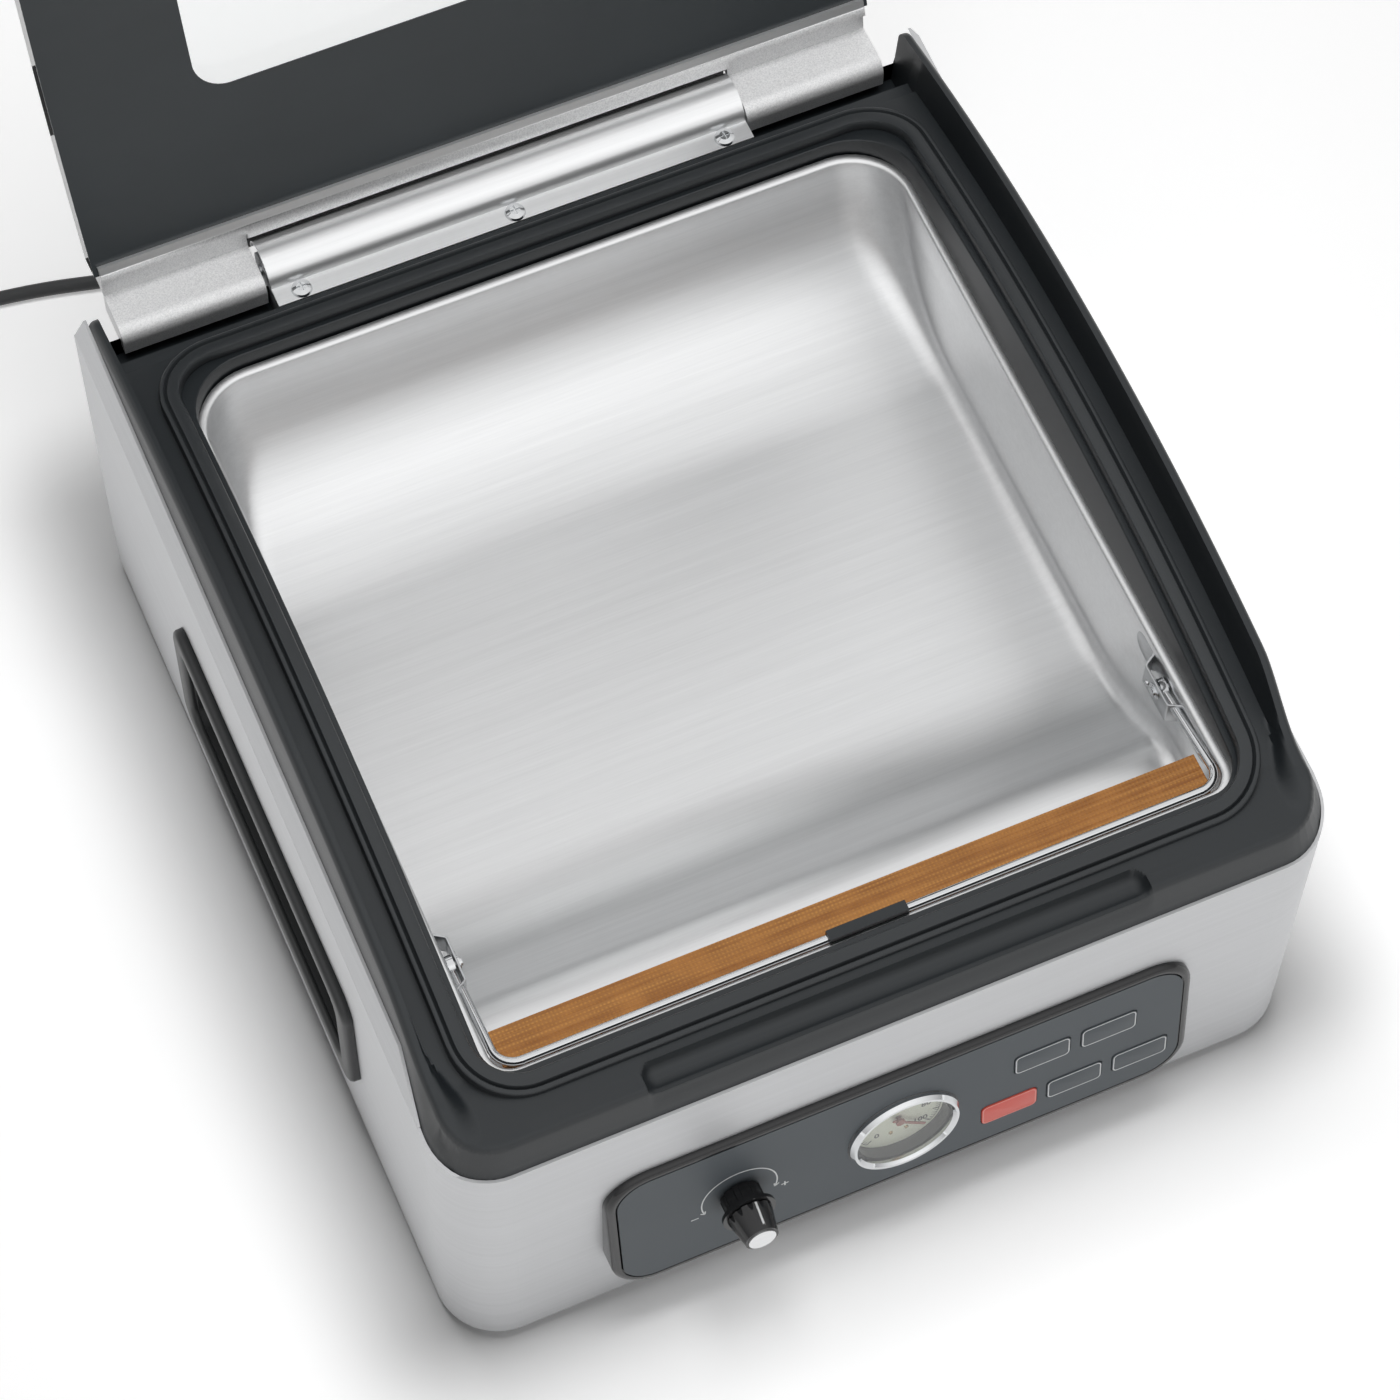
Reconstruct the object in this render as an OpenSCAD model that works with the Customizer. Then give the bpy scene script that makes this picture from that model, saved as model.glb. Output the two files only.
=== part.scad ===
// Chamber vacuum sealer. Millimetres.
// Machine frame: X = 0 centre, Y = 0 front steel face, Z = 0 steel lower edge.
// place() moves it to the row frame: origin at the centre of the base, feet on Z = 0.

/* [Body] */
// Width over the steel sides
body_w = 375; // [300:1:450]
// Depth from front steel to back panel
body_d = 397; // [350:1:450]
// Radius of the two front corners
corner_r = 26; // [10:1:40]
// Steel sheet thickness
sheet_t = 1.2; // [0.8:0.1:2]
// Height of the front steel
front_h = 161.8; // [140:0.1:190]
// Height of the side crease where it starts
crease_front_z = 168.3; // [160:0.1:180]
// Height of the side crease at the back
crease_back_z = 184.3; // [170:0.1:195]
// Where the crease starts behind the front
crease_y = 30; // [20:1:60]
// Height of the leaning strip above the crease
lean_h = 8.5; // [4:0.5:14]
// How far the leaning strip comes inward
lean_in = 4.7; // [3:0.1:10]
// Foot height
foot_h = 8; // [5:1:15]
// Foot radius
foot_r = 13; // [8:1:20]
// Distance of the feet from the edges
foot_inset = 34; // [20:1:60]

/* [Deck] */
// Rise of the arched top over the back of the ring
arch_rise = 21.533; // [10:0.001:40]
// Highest point of the arch behind the middle
arch_shift = 6.5; // [0:0.5:20]
// Height of the seal ring there
arch_z = 208; // [195:1:220]
// Height of the ring over the deck channel
ring_h = 6; // [4:0.5:9]
// Outer edge of the ring inward of the deck edge
ring_inset = 13.5; // [10:0.5:20]
// Ring width
ring_w = 8.7; // [6:0.1:12]
// Front of the ring
ring_y0 = 20; // [16:0.5:26]
// Back of the ring ahead of the back panel
ring_back = 23.5; // [18:0.5:35]
// Outer corner radius of the ring
ring_r = 28; // [20:1:40]
// Deck edge inward of the steel sides
deck_inset = 6; // [6:0.1:12]
// Height of the deck in front of the ring
nose_z = 180; // [175:0.5:184]
// Front edge of the upper deck
nose_y = 4.6; // [3:0.1:10]
// Depth of the front part of the deck
nose_d = 40; // [30:1:60]
// Rail height over the ring
rail_h = 14; // [8:0.5:20]
// Rail width at the top
rail_w = 4.2; // [3:0.1:7]
// Lean of the rail's inner face
rail_lean = 1.8; // [0:0.1:4]
// Rail front height
rail_front_z = 186; // [180:0.5:195]
// Where the rail's front rise starts
rail_rise_y = 29; // [20:1:40]
// Length of that rise
rail_rise = 42; // [20:1:60]
// Back end of the rails ahead of the back panel
rail_back = 15.7; // [10:0.1:25]
// Height of the ledge behind the ring
ledge_z = 176.5; // [168:0.1:178]
// Height of the rear shelf
shelf_z = 160; // [150:1:166]
// Lower edge of the deck skirt
skirt_z = 146; // [130:1:155]
// Half length of the finger groove
grip_half = 103; // [60:1:130]
// Finger groove width
grip_w = 9; // [8:0.5:16]
// Finger groove depth
grip_d = 5; // [3:0.5:9]
// Middle of the finger groove
grip_y = 9.8; // [9:0.1:15]

/* [Chamber] */
// Pan wall inward of the outer edge of the ring
pan_inset = 14.1; // [12:0.1:25]
// Inside front
pan_y0 = 35; // [30:0.5:45]
// Pan back wall ahead of the back of the ring
pan_back = 13.9; // [12:0.1:25]
// Rear corner radius seen from above
pan_r = 25; // [15:1:40]
// Front corner radius seen from above
pan_rf = 10; // [8:0.5:20]
// Rim height
rim_z = 174; // [168:0.5:180]
// Rim width
rim_w = 2.4; // [1.5:0.1:4]
// Floor height
floor_z = 106; // [80:1:130]
// Radius of the sweep from floor to back wall
sweep_r = 82; // [40:1:100]
// Height of the front shelf under the bar
shelf_bar_z = 132; // [120:1:145]
// Back end of that shelf
shelf_bar_y = 81; // [70:1:95]
// Where the ramp meets the floor
ramp_y = 115; // [100:1:140]
// Pan sheet thickness
pan_t = 1.2; // [0.8:0.1:2]
// Gap between pan and deck
pan_gap = 0.2; // [0.1:0.1:1]
// Suction port radius
port_r = 5; // [3:0.5:6]
// Suction port right of the middle
port_x = -80; // [-86:1:-70]

/* [Seal bar] */
// Gap between the bar's end and the pan wall
bar_gap = 5.4; // [5:0.1:15]
// Front face
bar_y0 = 40.3; // [38:0.1:46]
// Width
bar_w = 15.8; // [10:0.1:20]
// Lower face
bar_z0 = 141; // [135:0.5:150]
// Height
bar_h = 26.1; // [18:0.1:32]
// Tape thickness
tape_t = 0.4; // [0.2:0.05:0.8]
// How far the tape reaches down
tape_drop = 12; // [6:1:20]
// Heating band width
band_w = 5; // [3:0.5:8]
// Heating band thickness
band_t = 0.3; // [0.1:0.05:0.5]
// Lift post radius
post_r = 5; // [4:0.5:8]
// Lift post distance from the middle
post_x = 100; // [60:1:130]
// Lower end of the lift posts
post_z0 = 104; // [95:1:120]
// Clearance of a sliding or turning fit
fit = 0.05; // [0.02:0.01:0.1]
// Sleeve wall
sleeve_t = 5; // [3:0.5:8]
// Lower end of the sleeves
sleeve_z0 = 96; // [85:1:120]
// Lift travel
lift = 4.8; // [4:0.1:8]

/* [Bag bail] */
// Wire radius
wire_r = 1.75; // [1:0.05:3]
// Arm middle inward of the pan wall
arm_gap = 3.2; // [3:0.1:5]
// Pivot behind the front face
pivot_y = 88; // [80:0.5:100]
// Pivot height
pivot_z = 165; // [158:0.5:170]
// Front wire behind the front face
wire_y = 37.6; // [36:0.1:39]
// Front wire height
wire_z = 174.5; // [170:0.1:180]
// Bend radius at the front corners
wire_bend = 9; // [3:0.5:12]
// Pivot rivet radius
rivet_r = 1.6; // [1:0.1:2.5]
// Eye outer radius
eye_r = 4; // [3:0.1:6]
// Eye thickness
eye_t = 2.6; // [2:0.1:4]
// Strap thickness
strap_t = 1; // [0.6:0.1:2]
// Half length of the lift tab
tab_half = 16.5; // [10:0.5:25]
// Tab width
tab_w = 4.4; // [3:0.1:6]
// Tab height
tab_h = 6; // [4:0.5:9]

/* [Control panel] */
// Half width of the housing
panel_half = 126; // [110:0.5:140]
// Face length from top to bottom
panel_len = 84.5; // [70:0.5:100]
// Face tilt
panel_tilt = 7; // [0:0.5:20]
// How far the face stands out at the top
panel_out = 2.8; // [1:0.1:10]
// Height of the upper face edge
panel_z = 116; // [100:0.5:140]
// Corner radius
panel_r = 19; // [8:0.5:25]
// Housing wall
panel_t = 2.5; // [1.5:0.1:4]
// Border around the overlay
border_w = 3.6; // [2:0.1:8]
// Overlay thickness
overlay_t = 0.6; // [0.3:0.1:1]
// Depth of the line round the overlay
line_d = 0.9; // [0.5:0.1:2]
// Line width
line_w = 0.7; // [0.4:0.1:1.5]
// Button width
key_w = 24.3; // [15:0.1:30]
// Button height
key_h = 13.2; // [8:0.1:18]
// Button corner radius
key_r = 2.6; // [1:0.1:5]
// Button depth
key_d = 4; // [2:0.5:8]
// How far a button stands out
key_out = 0.5; // [0.2:0.1:2]
// Gap round a button
key_gap = 0.35; // [0.3:0.05:0.6]
// Columns of the upper buttons
key_up_x = [60.3, 89.5]; // [40:0.1:110]
// Columns of the lower buttons
key_low_x = [46.3, 75.2, 104.3]; // [40:0.1:110]
// Upper button row below the face top
key_up_s = 30.2; // [20:0.1:50]
// Lower button row below the face top
key_low_s = 60.6; // [40:0.1:75]

/* [Gauge] */
// Bezel radius
gauge_r = 24; // [15:0.1:30]
// Distance of its middle below the face top
gauge_s = 44.2; // [35:0.1:55]
// Bezel ring width
bezel_w = 3.4; // [2:0.1:6]
// How far the bezel stands out
bezel_out = 3.2; // [1:0.1:6]
// Case depth
gauge_d = 26; // [15:1:40]
// Lens thickness
lens_t = 1.5; // [1:0.1:3]
// Needle length
needle_l = 14; // [8:0.5:18]
// Needle shaft radius
needle_r = 1; // [0.6:0.1:2]
// Needle direction at rest
needle_rest = -40; // [-60:1:60]

/* [Knobs] */
// Knob middle left of the centre
knob_x = -71; // [-100:0.5:-50]
// Knob middle below the face top
knob_s = 42.5; // [30:0.5:60]
// Rear knob radius
knob_rear_r = 8.6; // [6:0.1:12]
// Rear knob length
knob_rear_l = 8; // [4:0.5:12]
// Flange radius
flange_r = 11.3; // [8:0.1:16]
// Flange thickness
flange_t = 1.6; // [1:0.1:3]
// Front knob radius at the flange
knob_front_r = 9.4; // [6:0.1:12]
// Front knob radius at the cap
knob_cap_r = 7; // [5:0.1:10]
// Front knob length
knob_front_l = 11.5; // [6:0.5:16]
// Gap between the two knobs and the panel
knob_gap = 0.4; // [0.3:0.1:1]
// Cap disc radius
cap_r = 5.8; // [4:0.1:8]
// Cap disc thickness
cap_t = 0.6; // [0.3:0.1:1]
// Flutes on each knob
flutes = 12; // [8:1:20]
// Inner shaft radius
shaft_in_r = 1.6; // [1:0.1:2.5]
// Outer shaft radius
shaft_out_r = 3; // [2:0.1:4]
// Bushing radius
bushing_r = 4.5; // [3.5:0.1:6]
// Bushing length behind the face
bushing_l = 10; // [6:0.5:14]

/* [Handles] */
// Handle middle ahead of the middle of the sides
grab_shift = 1.5; // [0:0.5:20]
// Handle frame length
grab_l = 186; // [120:1:220]
// Lower edge of the handle frames
grab_z0 = 50; // [30:1:80]
// Handle frame height
grab_h = 72; // [50:1:90]
// Frame corner radius
grab_r = 9; // [4:1:15]
// Frame width
grab_w = 7; // [4:0.5:12]
// How far the frame stands out
grab_out = 3; // [1:0.5:6]
// Pocket depth
grab_d = 24; // [15:1:30]
// Pocket wall
grab_t = 2; // [1.5:0.1:3]

/* [Lid] */
// Lid edge inward of the deck edge
lid_inset = 10; // [8:0.5:14]
// Lid thickness
lid_t = 11.8; // [8:0.1:14]
// Front edge when closed
lid_y0 = 17; // [15:0.5:20]
// Back edge ahead of the back panel when closed
lid_back = 13; // [10:0.5:20]
// Front corner radius
lid_r = 24; // [15:1:30]
// Gap to the ring when closed
lid_gap = 0.3; // [0.1:0.1:1]
// Opening angle
lid_open = 98; // [80:1:110]
// Dark border thickness
ink_t = 0.6; // [0.3:0.1:1]
// Border width at the sides
window_side = 59.7; // [30:0.1:80]
// Border width at the front
window_front = 66.5; // [40:0.5:80]
// Border width at the back
window_back = 66.5; // [40:0.5:110]
// Window corner radius
window_r = 14; // [5:0.5:25]
// How much shorter the pressure bar is at each end
press_short = 1.5; // [0:0.5:20]
// Pressure bar width
press_w = 14; // [10:0.5:18]
// Lower face of the pressure bar when closed
press_z = 177.5; // [176:0.5:180]

/* [Hinge] */
// Pivot behind the back panel
hinge_back = 5.5; // [2:0.5:12]
// Pivot height
hinge_z = 174.5; // [170:0.5:180]
// Pin radius
pin_r = 2.5; // [2:0.1:4]
// End of the pin inward of the knuckle ends
pin_short = 0.85; // [0.5:0.05:5]
// Inner end of the knuckles
knuckle_x0 = 107; // [90:0.5:120]
// Outer end of the knuckles inward of the lid edge
knuckle_inset = 2.15; // [1:0.05:8]
// Top face of the knuckles over the pivot
knuckle_up = 5; // [4:0.5:8]
// Knuckle block below the pivot
knuckle_down = 8; // [6:0.5:9]
// Nose in front of the pivot
knuckle_fore = 11.2; // [8:0.1:12]
// Block behind the pivot
knuckle_aft = 11.6; // [8:0.1:14]
// Nose radius
nose_r = 6.5; // [3:0.5:6.5]
// Lip thickness of the lid channel
lip_t = 2; // [1.5:0.1:3]
// Lip height of the lid channel
lip_h = 4.6; // [4:0.1:10]
// Half length of the cover
cover_half = 105.5; // [90:0.5:106]
// Front edge of the cover ahead of the back panel
cover_back = 15.5; // [12:0.1:20]
// Flange width of the cover
cover_flange = 8; // [6:0.5:10]
// Cover sheet thickness
cover_t = 1.2; // [0.8:0.1:2]
// Height of the flange top
cover_z = 177; // [175:0.1:179]
// Cover radius round the pivot
cover_r = 12.5; // [10:0.1:14]
// Screw distance from the middle
screw_x = 94; // [80:1:100]
// Screw head radius
screw_r = 4.4; // [3:0.1:5]
// Screw head height
screw_h = 2; // [1:0.1:3]
// Spring outer radius
spring_r = 7; // [5:0.1:8]
// Spring wire
spring_w = 2; // [1:0.1:3]
// Turns in each spring
spring_n = 22; // [10:1:30]

/* [Works] */
// Motor radius
motor_r = 34; // [25:1:40]
// Motor length
motor_l = 96; // [70:1:120]
// Pump head length
head_l = 62; // [40:1:80]
// Transformer width
core_w = 66; // [40:1:80]
// Board width
board_w = 120; // [80:1:150]

/* [Cord] */
// Cord radius
cord_r = 3.3; // [2:0.1:4]
// Turn radius at the coil middle
coil_r = 38; // [30:1:50]
// Coil height
coil_h = 27; // [15:1:40]
// Coil bundle half width
coil_w = 9; // [6:0.5:14]
// Plug length without its prongs
plug_l = 34; // [25:1:45]
// Plug width
plug_w = 26; // [20:1:35]
// Plug height
plug_h = 20; // [15:1:30]
// Prong length
prong_l = 14; // [10:1:20]

/* [Hidden] */
eps = 0.01;
seam = 0.1;
collar_l = 0.8;
$fn = 96;
half_w = body_w / 2;
deck_half = half_w - deck_inset;
ring_out = deck_half - ring_inset;
ring_y1 = body_d - ring_back;
rail_y1 = body_d - rail_back;
ledge_y1 = rail_y1;
arch_y = body_d / 2 + arch_shift;
arch_r = (pow(ring_y1 - arch_y, 2) + pow(arch_rise, 2)) / (2 * arch_rise);
pan_half = ring_out - pan_inset;
pan_y1 = ring_y1 - pan_back;
bar_half = pan_half - bar_gap;
arm_x = pan_half - arm_gap;
grab_y0 = (body_d - grab_l) / 2 - grab_shift;
lid_half = deck_half - lid_inset;
lid_y1 = body_d - lid_back;
press_half = bar_half - press_short;
hinge_y = body_d + hinge_back;
knuckle_x1 = lid_half - knuckle_inset;
pin_half = knuckle_x1 - pin_short;
cover_y0 = body_d - cover_back;
core_h = 56;
core_side = 60;
core_back = 110;
head_h = 52;
board_y = 32;
valve_side = 90;
valve_pitch = 44;
valve_l = 34;
valve_w = 26;
valve_h = 24;
can_r = 11;
can_h = 28;
core_inset = 10;
wind_out = 12;
wind_l = core_h + 2 * wind_out;
wind_h = 32;
board_l = 52;
board_t = 1.6;
board_leg = 8;
board_edge = 4;
chip_l = 22;
chip_w = 14;
chip_h = 6;
chip_pitch = 26;
board_leg_r = 2.5;
shaft_r = 5;
shaft_l = 30;
hub_x = motor_l / 2 + 4;
motor_rise = 6;
foot_half = 24;
hub_r = 9;
hub_l = 12;
blade_l = 10;
blade_h = 24;
blade_t = 2;
strap_l = 62;
strap_h = 12;
strap_fore = 36;
box_l = 24;
box_h = 14;
box_drop = 8;
box_wall = 2;
rivet_edge = 1.2;
eye_gap = 0.5;
pot_y = 16;
pot_h = 26;
pot_r = 14;
fin_out = 4;
fin_t = 3;
fin_pitch = 10;
coil_side = 165;
coil_back = 194;
housing_back = 30;
inner_w = half_w - sheet_t;
arch_c = arch_z - arch_r;
lean_run = crease_back_z - crease_front_z;
skirt_y = crease_y + (ledge_z + 1 - crease_front_z) * (body_d - crease_y) / lean_run;
chan_r = arch_r - ring_h;
hole_half = pan_half + rim_w + pan_gap;
hole_r = pan_r + rim_w + pan_gap;
hole_rf = pan_rf + rim_w + pan_gap;
hole_y0 = pan_y0 - rim_w - pan_gap;
hole_y1 = pan_y1 + rim_w + pan_gap;
face_top = [-panel_out, panel_z];
lid_in_r = arch_r + lid_gap;
lid_out_r = lid_in_r + lid_t;
arm_l = pivot_y - wire_y;
relief_x = -100;
relief_z = 40;
relief_l = 30;
socket_x = -70;
socket_w = 30;
socket_z = 28;
socket_h = 24;
head_w = 60;
port_y = bar_y0 + bar_w / 2;
hose_z = 50.5;

function arch(y, r) = arch_c + sqrt(r * r - (y - arch_y) * (y - arch_y));
function turn(p, a) = [p[0] * cos(a) - p[1] * sin(a), p[0] * sin(a) + p[1] * cos(a)];
function opened(p) = turn([p[0] - hinge_y, p[1] - hinge_z], -lid_open) + [hinge_y, hinge_z];

back_reach = max([for (y = [lid_y0 : 2 : lid_y1]) opened([y, arch(y, lid_out_r)])[0]]);
knob_reach = face_top[0] - knob_s * sin(panel_tilt)
    - (knob_gap * 2 + knob_rear_l + flange_t + knob_front_l + cap_t) * cos(panel_tilt)
    - cap_r * sin(panel_tilt);
y_mid = (back_reach + knob_reach) / 2;

module place() {
    translate([0, -y_mid, foot_h])
        children();
}

module opened_lid() {
    place()
        translate([0, hinge_y, hinge_z])
            rotate([-lid_open, 0, 0])
                translate([0, -hinge_y, -hinge_z])
                    children();
}

module side_cut(x0, x1) {
    translate([x0, 0, 0])
        rotate([90, 0, 90])
            linear_extrude(x1 - x0)
                children();
}

module rod_x(x0, x1, r, y, z) {
    translate([x0, y, z])
        rotate([0, 90, 0])
            cylinder(h = x1 - x0, r = r);
}

module both_sides() {
    for (s = [0, 1])
        mirror([s, 0, 0])
            children();
}

module rounded(half, y0, y1, r, rf = 0) {
    f = rf > 0 ? rf : r;
    for (x = [r - half, half - r])
        translate([x, y1 - r])
            circle(r);
    for (x = [f - half, half - f])
        translate([x, y0 + f])
            circle(f);
    translate([-half, y0 + f])
        square([2 * half, y1 - y0 - r - f]);
    translate([r - half, y1 - r - eps])
        square([2 * half - 2 * r, r + eps]);
    translate([f - half, y0])
        square([2 * half - 2 * f, f + eps]);
}

module front_rounded(half, y0, y1, r) {
    rounded(half, y0, y1, r);
    translate([-half, y1 - r - eps])
        square([2 * half, r + eps]);
}

module under_arch(r, z0, half) {
    intersection() {
        rod_x(-half, half, r, arch_y, arch_c, $fn = 720);
        translate([-half, -1, z0])
            cube([2 * half, body_d + 2, arch_z + rail_h + 10 - z0]);
    }
}

// ---- steel shell ----

module side_outline(drop) {
    polygon([[-1, 0], [body_d + 1, 0], [body_d + 1, crease_back_z - drop],
             [crease_y, crease_front_z - drop], [corner_r / 3, front_h - drop],
             [-1, front_h - drop]]);
}

module lean_profile(t) {
    polygon([[half_w - 0.9 * t, -2 * t], [half_w - seam, -2 * t], [half_w - seam, 0],
             [half_w - lean_in, lean_h], [half_w - lean_in - t, lean_h], [half_w - 0.9 * t, 0]]);
}

module lean_strip() {
    run = body_d - crease_y;
    rise = atan(lean_run / run);
    translate([0, crease_y, crease_front_z])
        rotate([rise, 0, 0])
            translate([0, run, 0])
                rotate([90, 0, 0])
                    linear_extrude(run)
                        lean_profile(sheet_t);
}

module lean_cut() {
    polygon([[crease_y, crease_front_z - 3], [body_d, crease_front_z - 3],
             [body_d, arch_z], [crease_y + 60, arch_z - 20],
             [crease_y, crease_front_z + 0.4]]);
}

module grab_outline(inset) {
    translate([grab_y0 + grab_l / 2, 0])
        rounded(grab_l / 2 - inset, grab_z0 + inset, grab_z0 + grab_h - inset, grab_r);
}

module steel_wrap() {
    color("silver")
    place()
    difference() {
        union() {
            intersection() {
                linear_extrude(arch_z)
                    difference() {
                        front_rounded(half_w, 0, body_d, corner_r);
                        front_rounded(inner_w, sheet_t, body_d + 1, corner_r - sheet_t);
                    }
                side_cut(-half_w - 1, half_w + 1)
                    side_outline(0);
            }
            both_sides()
                intersection() {
                    lean_strip();
                    side_cut(0, half_w + 1)
                        lean_cut();
                }
        }
        translate([-panel_half + 8, -1, face_top[1] - panel_len + 14])
            cube([2 * panel_half - 16, 4, panel_len - 26]);
        both_sides()
            side_cut(half_w - 5, half_w + 1)
                grab_outline(grab_w - 1);
    }
}

module bottom_plate() {
    color("gray")
    place()
    difference() {
        linear_extrude(sheet_t)
            front_rounded(inner_w - pan_gap, sheet_t + pan_gap, body_d - sheet_t, corner_r - sheet_t);
        for (x = [-1, 1])
            for (i = [0 : 5])
                translate([x * (70 + 12 * i), body_d / 2, -1])
                    cube([5, 60, 4], center = false);
    }
}

module vent_rows() {
    for (r = [0 : 4])
        for (c = [0 : 5])
            translate([40 + 18 * c, 0, 60 + 12 * r])
                cube([12, 20, 4]);
}

module back_panel() {
    color("gray")
    place()
    difference() {
        translate([pan_gap - inner_w, body_d - sheet_t, 0])
            cube([2 * inner_w - 2 * pan_gap, sheet_t, shelf_z - pan_gap]);
        translate([0, body_d - 10, 0])
            vent_rows();
        translate([socket_x, body_d - 10, socket_z])
            cube([socket_w, 20, socket_h]);
        translate([relief_x, body_d + 1, relief_z])
            rotate([90, 0, 0])
                cylinder(h = 5, r = 6);
    }
}

module feet() {
    color("dimgray")
    place()
    for (x = [foot_inset - half_w, half_w - foot_inset])
        for (y = [foot_inset, body_d - foot_inset])
            translate([x, y, -foot_h]) {
                rotate_extrude()
                    polygon([[0, 0], [foot_r - 1, 0], [foot_r, 1], [foot_r - 1.5, foot_h], [0, foot_h]]);
            }
}

// ---- deck and chamber ----

module rail_outline() {
    steps = 12;
    top_r = arch_r + rail_h;
    rise_end = rail_rise_y + rail_rise;
    gain = arch(rise_end, top_r) - rail_front_z;
    curve = [for (i = [0 : steps])
        [rail_rise_y + rail_rise * i / steps,
         rail_front_z + gain * (1 - cos(180 * i / steps)) / 2]];
    crown = [for (y = [rise_end + 10 : 10 : rail_y1]) [y, arch(y, top_r)]];
    polygon(concat([[nose_y + 8, ledge_z], [nose_y + 8, nose_z]],
        [[nose_y + 14, rail_front_z]], curve, crown,
        [[rail_y1, arch(rail_y1, top_r)], [rail_y1, ledge_z]]));
}

module rail_block() {
    intersection() {
        side_cut(0, half_w)
            rail_outline();
        translate([0, rail_y1 + 1, 0])
            rotate([90, 0, 0])
                linear_extrude(rail_y1)
                    polygon([[deck_half, ledge_z - 10], [deck_half, arch_z + rail_h + 5],
                             [deck_half - rail_w, arch_z + rail_h + 5],
                             [deck_half - rail_w - rail_lean, ledge_z - 10]]);
    }
}

module deck_upper() {
    intersection() {
        translate([0, 0, ledge_z - 10])
            linear_extrude(60)
                front_rounded(deck_half, nose_y, rail_y1, corner_r - 5);
        union() {
            under_arch(chan_r, ledge_z - 10, deck_half);
            side_cut(-deck_half, deck_half)
                polygon([[nose_y, ledge_z - 10], [nose_y, nose_z], [nose_y + nose_d, nose_z],
                         [nose_y + nose_d, ledge_z - 10]]);
        }
        side_cut(-deck_half, deck_half)
            polygon([[0, 0], [0, arch_z], [ring_y1 + 0.5, arch_z], [ring_y1 + 0.5, ledge_z],
                     [rail_y1, ledge_z], [rail_y1, 0]]);
    }
}

module deck_skirt() {
    intersection() {
        translate([0, 0, skirt_z])
            linear_extrude(60)
                front_rounded(inner_w - pan_gap, sheet_t + pan_gap, body_d - sheet_t - pan_gap,
                              corner_r - sheet_t);
        side_cut(-half_w, half_w)
            polygon([[0, 0], [ledge_y1, 0], [body_d, 0], [body_d, shelf_z], [ledge_y1, shelf_z],
                     [ledge_y1, ledge_z], [skirt_y, ledge_z], [crease_y, crease_front_z - 1],
                     [nose_y, front_h + 5], [0, front_h - 1]]);
    }
}

module deck() {
    color("dimgray")
    place()
    difference() {
        union() {
            deck_skirt();
            deck_upper();
            both_sides()
                rail_block();
        }
        translate([0, 0, rim_z - pan_t - pan_gap])
            linear_extrude(60)
                rounded(hole_half, hole_y0, hole_y1, hole_r, hole_rf);
        translate([0, 0, skirt_z - 1])
            linear_extrude(60)
                rounded(pan_half + pan_t + pan_gap, pan_y0 - pan_t - pan_gap,
                        pan_y1 + pan_t + pan_gap, pan_r + pan_t + pan_gap,
                        pan_rf + pan_t + pan_gap);
        translate([0, 0, nose_z - grip_d])
            linear_extrude(20)
                rounded(grip_half, grip_y - grip_w / 2, grip_y + grip_w / 2, grip_w / 2 - eps);
        translate([0, 0, skirt_z - 1])
            linear_extrude(rim_z - 6 - skirt_z)
                difference() {
                    rounded(inner_w - 4, sheet_t + 5, ledge_y1 - 3, corner_r - 5);
                    rounded(pan_half + 5, pan_y0 - 5, pan_y1 + 5, pan_r + 5, pan_rf + 5);
                }
    }
}

module seal_ring() {
    color("black")
    place()
    intersection() {
        linear_extrude(arch_z + 10)
            difference() {
                rounded(ring_out, ring_y0, ring_y1, ring_r);
                rounded(ring_out - ring_w, ring_y0 + ring_w, ring_y1 - ring_w, ring_r - ring_w);
            }
        difference() {
            under_arch(arch_r, nose_z, ring_out + 1);
            under_arch(chan_r, 0, ring_out + 2);
        }
    }
}

module pan_profile(t) {
    yb = pan_y1 - sweep_r;
    zc = floor_z + sweep_r;
    polygon([[pan_y0 - t, rim_z + 1], [pan_y0 - t, shelf_bar_z - t], [shelf_bar_y - t / 2, shelf_bar_z - t],
             [ramp_y - t / 2, floor_z - t], [yb, floor_z - t], [yb, rim_z + 1]]);
    intersection() {
        translate([yb, zc])
            circle(sweep_r + t, $fn = 192);
        translate([yb - eps, floor_z - t - 1])
            square([sweep_r + t + 1, rim_z - floor_z + t + 2]);
    }
}

module pan_volume(t, z1) {
    intersection() {
        translate([0, 0, floor_z - t])
            linear_extrude(z1 - floor_z + t)
                rounded(pan_half + t, pan_y0 - t, pan_y1 + t, pan_r + t, pan_rf + t);
        side_cut(-pan_half - t, pan_half + t)
            pan_profile(t);
    }
}

module chamber_pan() {
    color("silver")
    place()
    difference() {
        union() {
            pan_volume(pan_t, rim_z);
            translate([0, 0, rim_z - pan_t])
                linear_extrude(pan_t)
                    rounded(pan_half + rim_w, pan_y0 - rim_w, pan_y1 + rim_w, pan_r + rim_w,
                            pan_rf + rim_w);
        }
        pan_volume(0, rim_z + 1);
        for (x = [-post_x, post_x])
            translate([x, bar_y0 + bar_w / 2, shelf_bar_z - 5])
                cylinder(h = 10, r = post_r + 0.6);
        translate([port_x, port_y, shelf_bar_z - 5])
            cylinder(h = 10, r = port_r);
    }
}

// ---- seal bar ----

module seal_bar() {
    color("silver")
    place()
    translate([-bar_half, bar_y0 + tape_t, bar_z0])
        cube([2 * bar_half, bar_w - 2 * tape_t, bar_h - band_t - tape_t]);
}

module heating_band() {
    color("orange")
    place()
    translate([3 - bar_half, bar_y0 + (bar_w - band_w) / 2, bar_z0 + bar_h - band_t - tape_t])
        cube([2 * bar_half - 6, band_w, band_t]);
}

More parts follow.
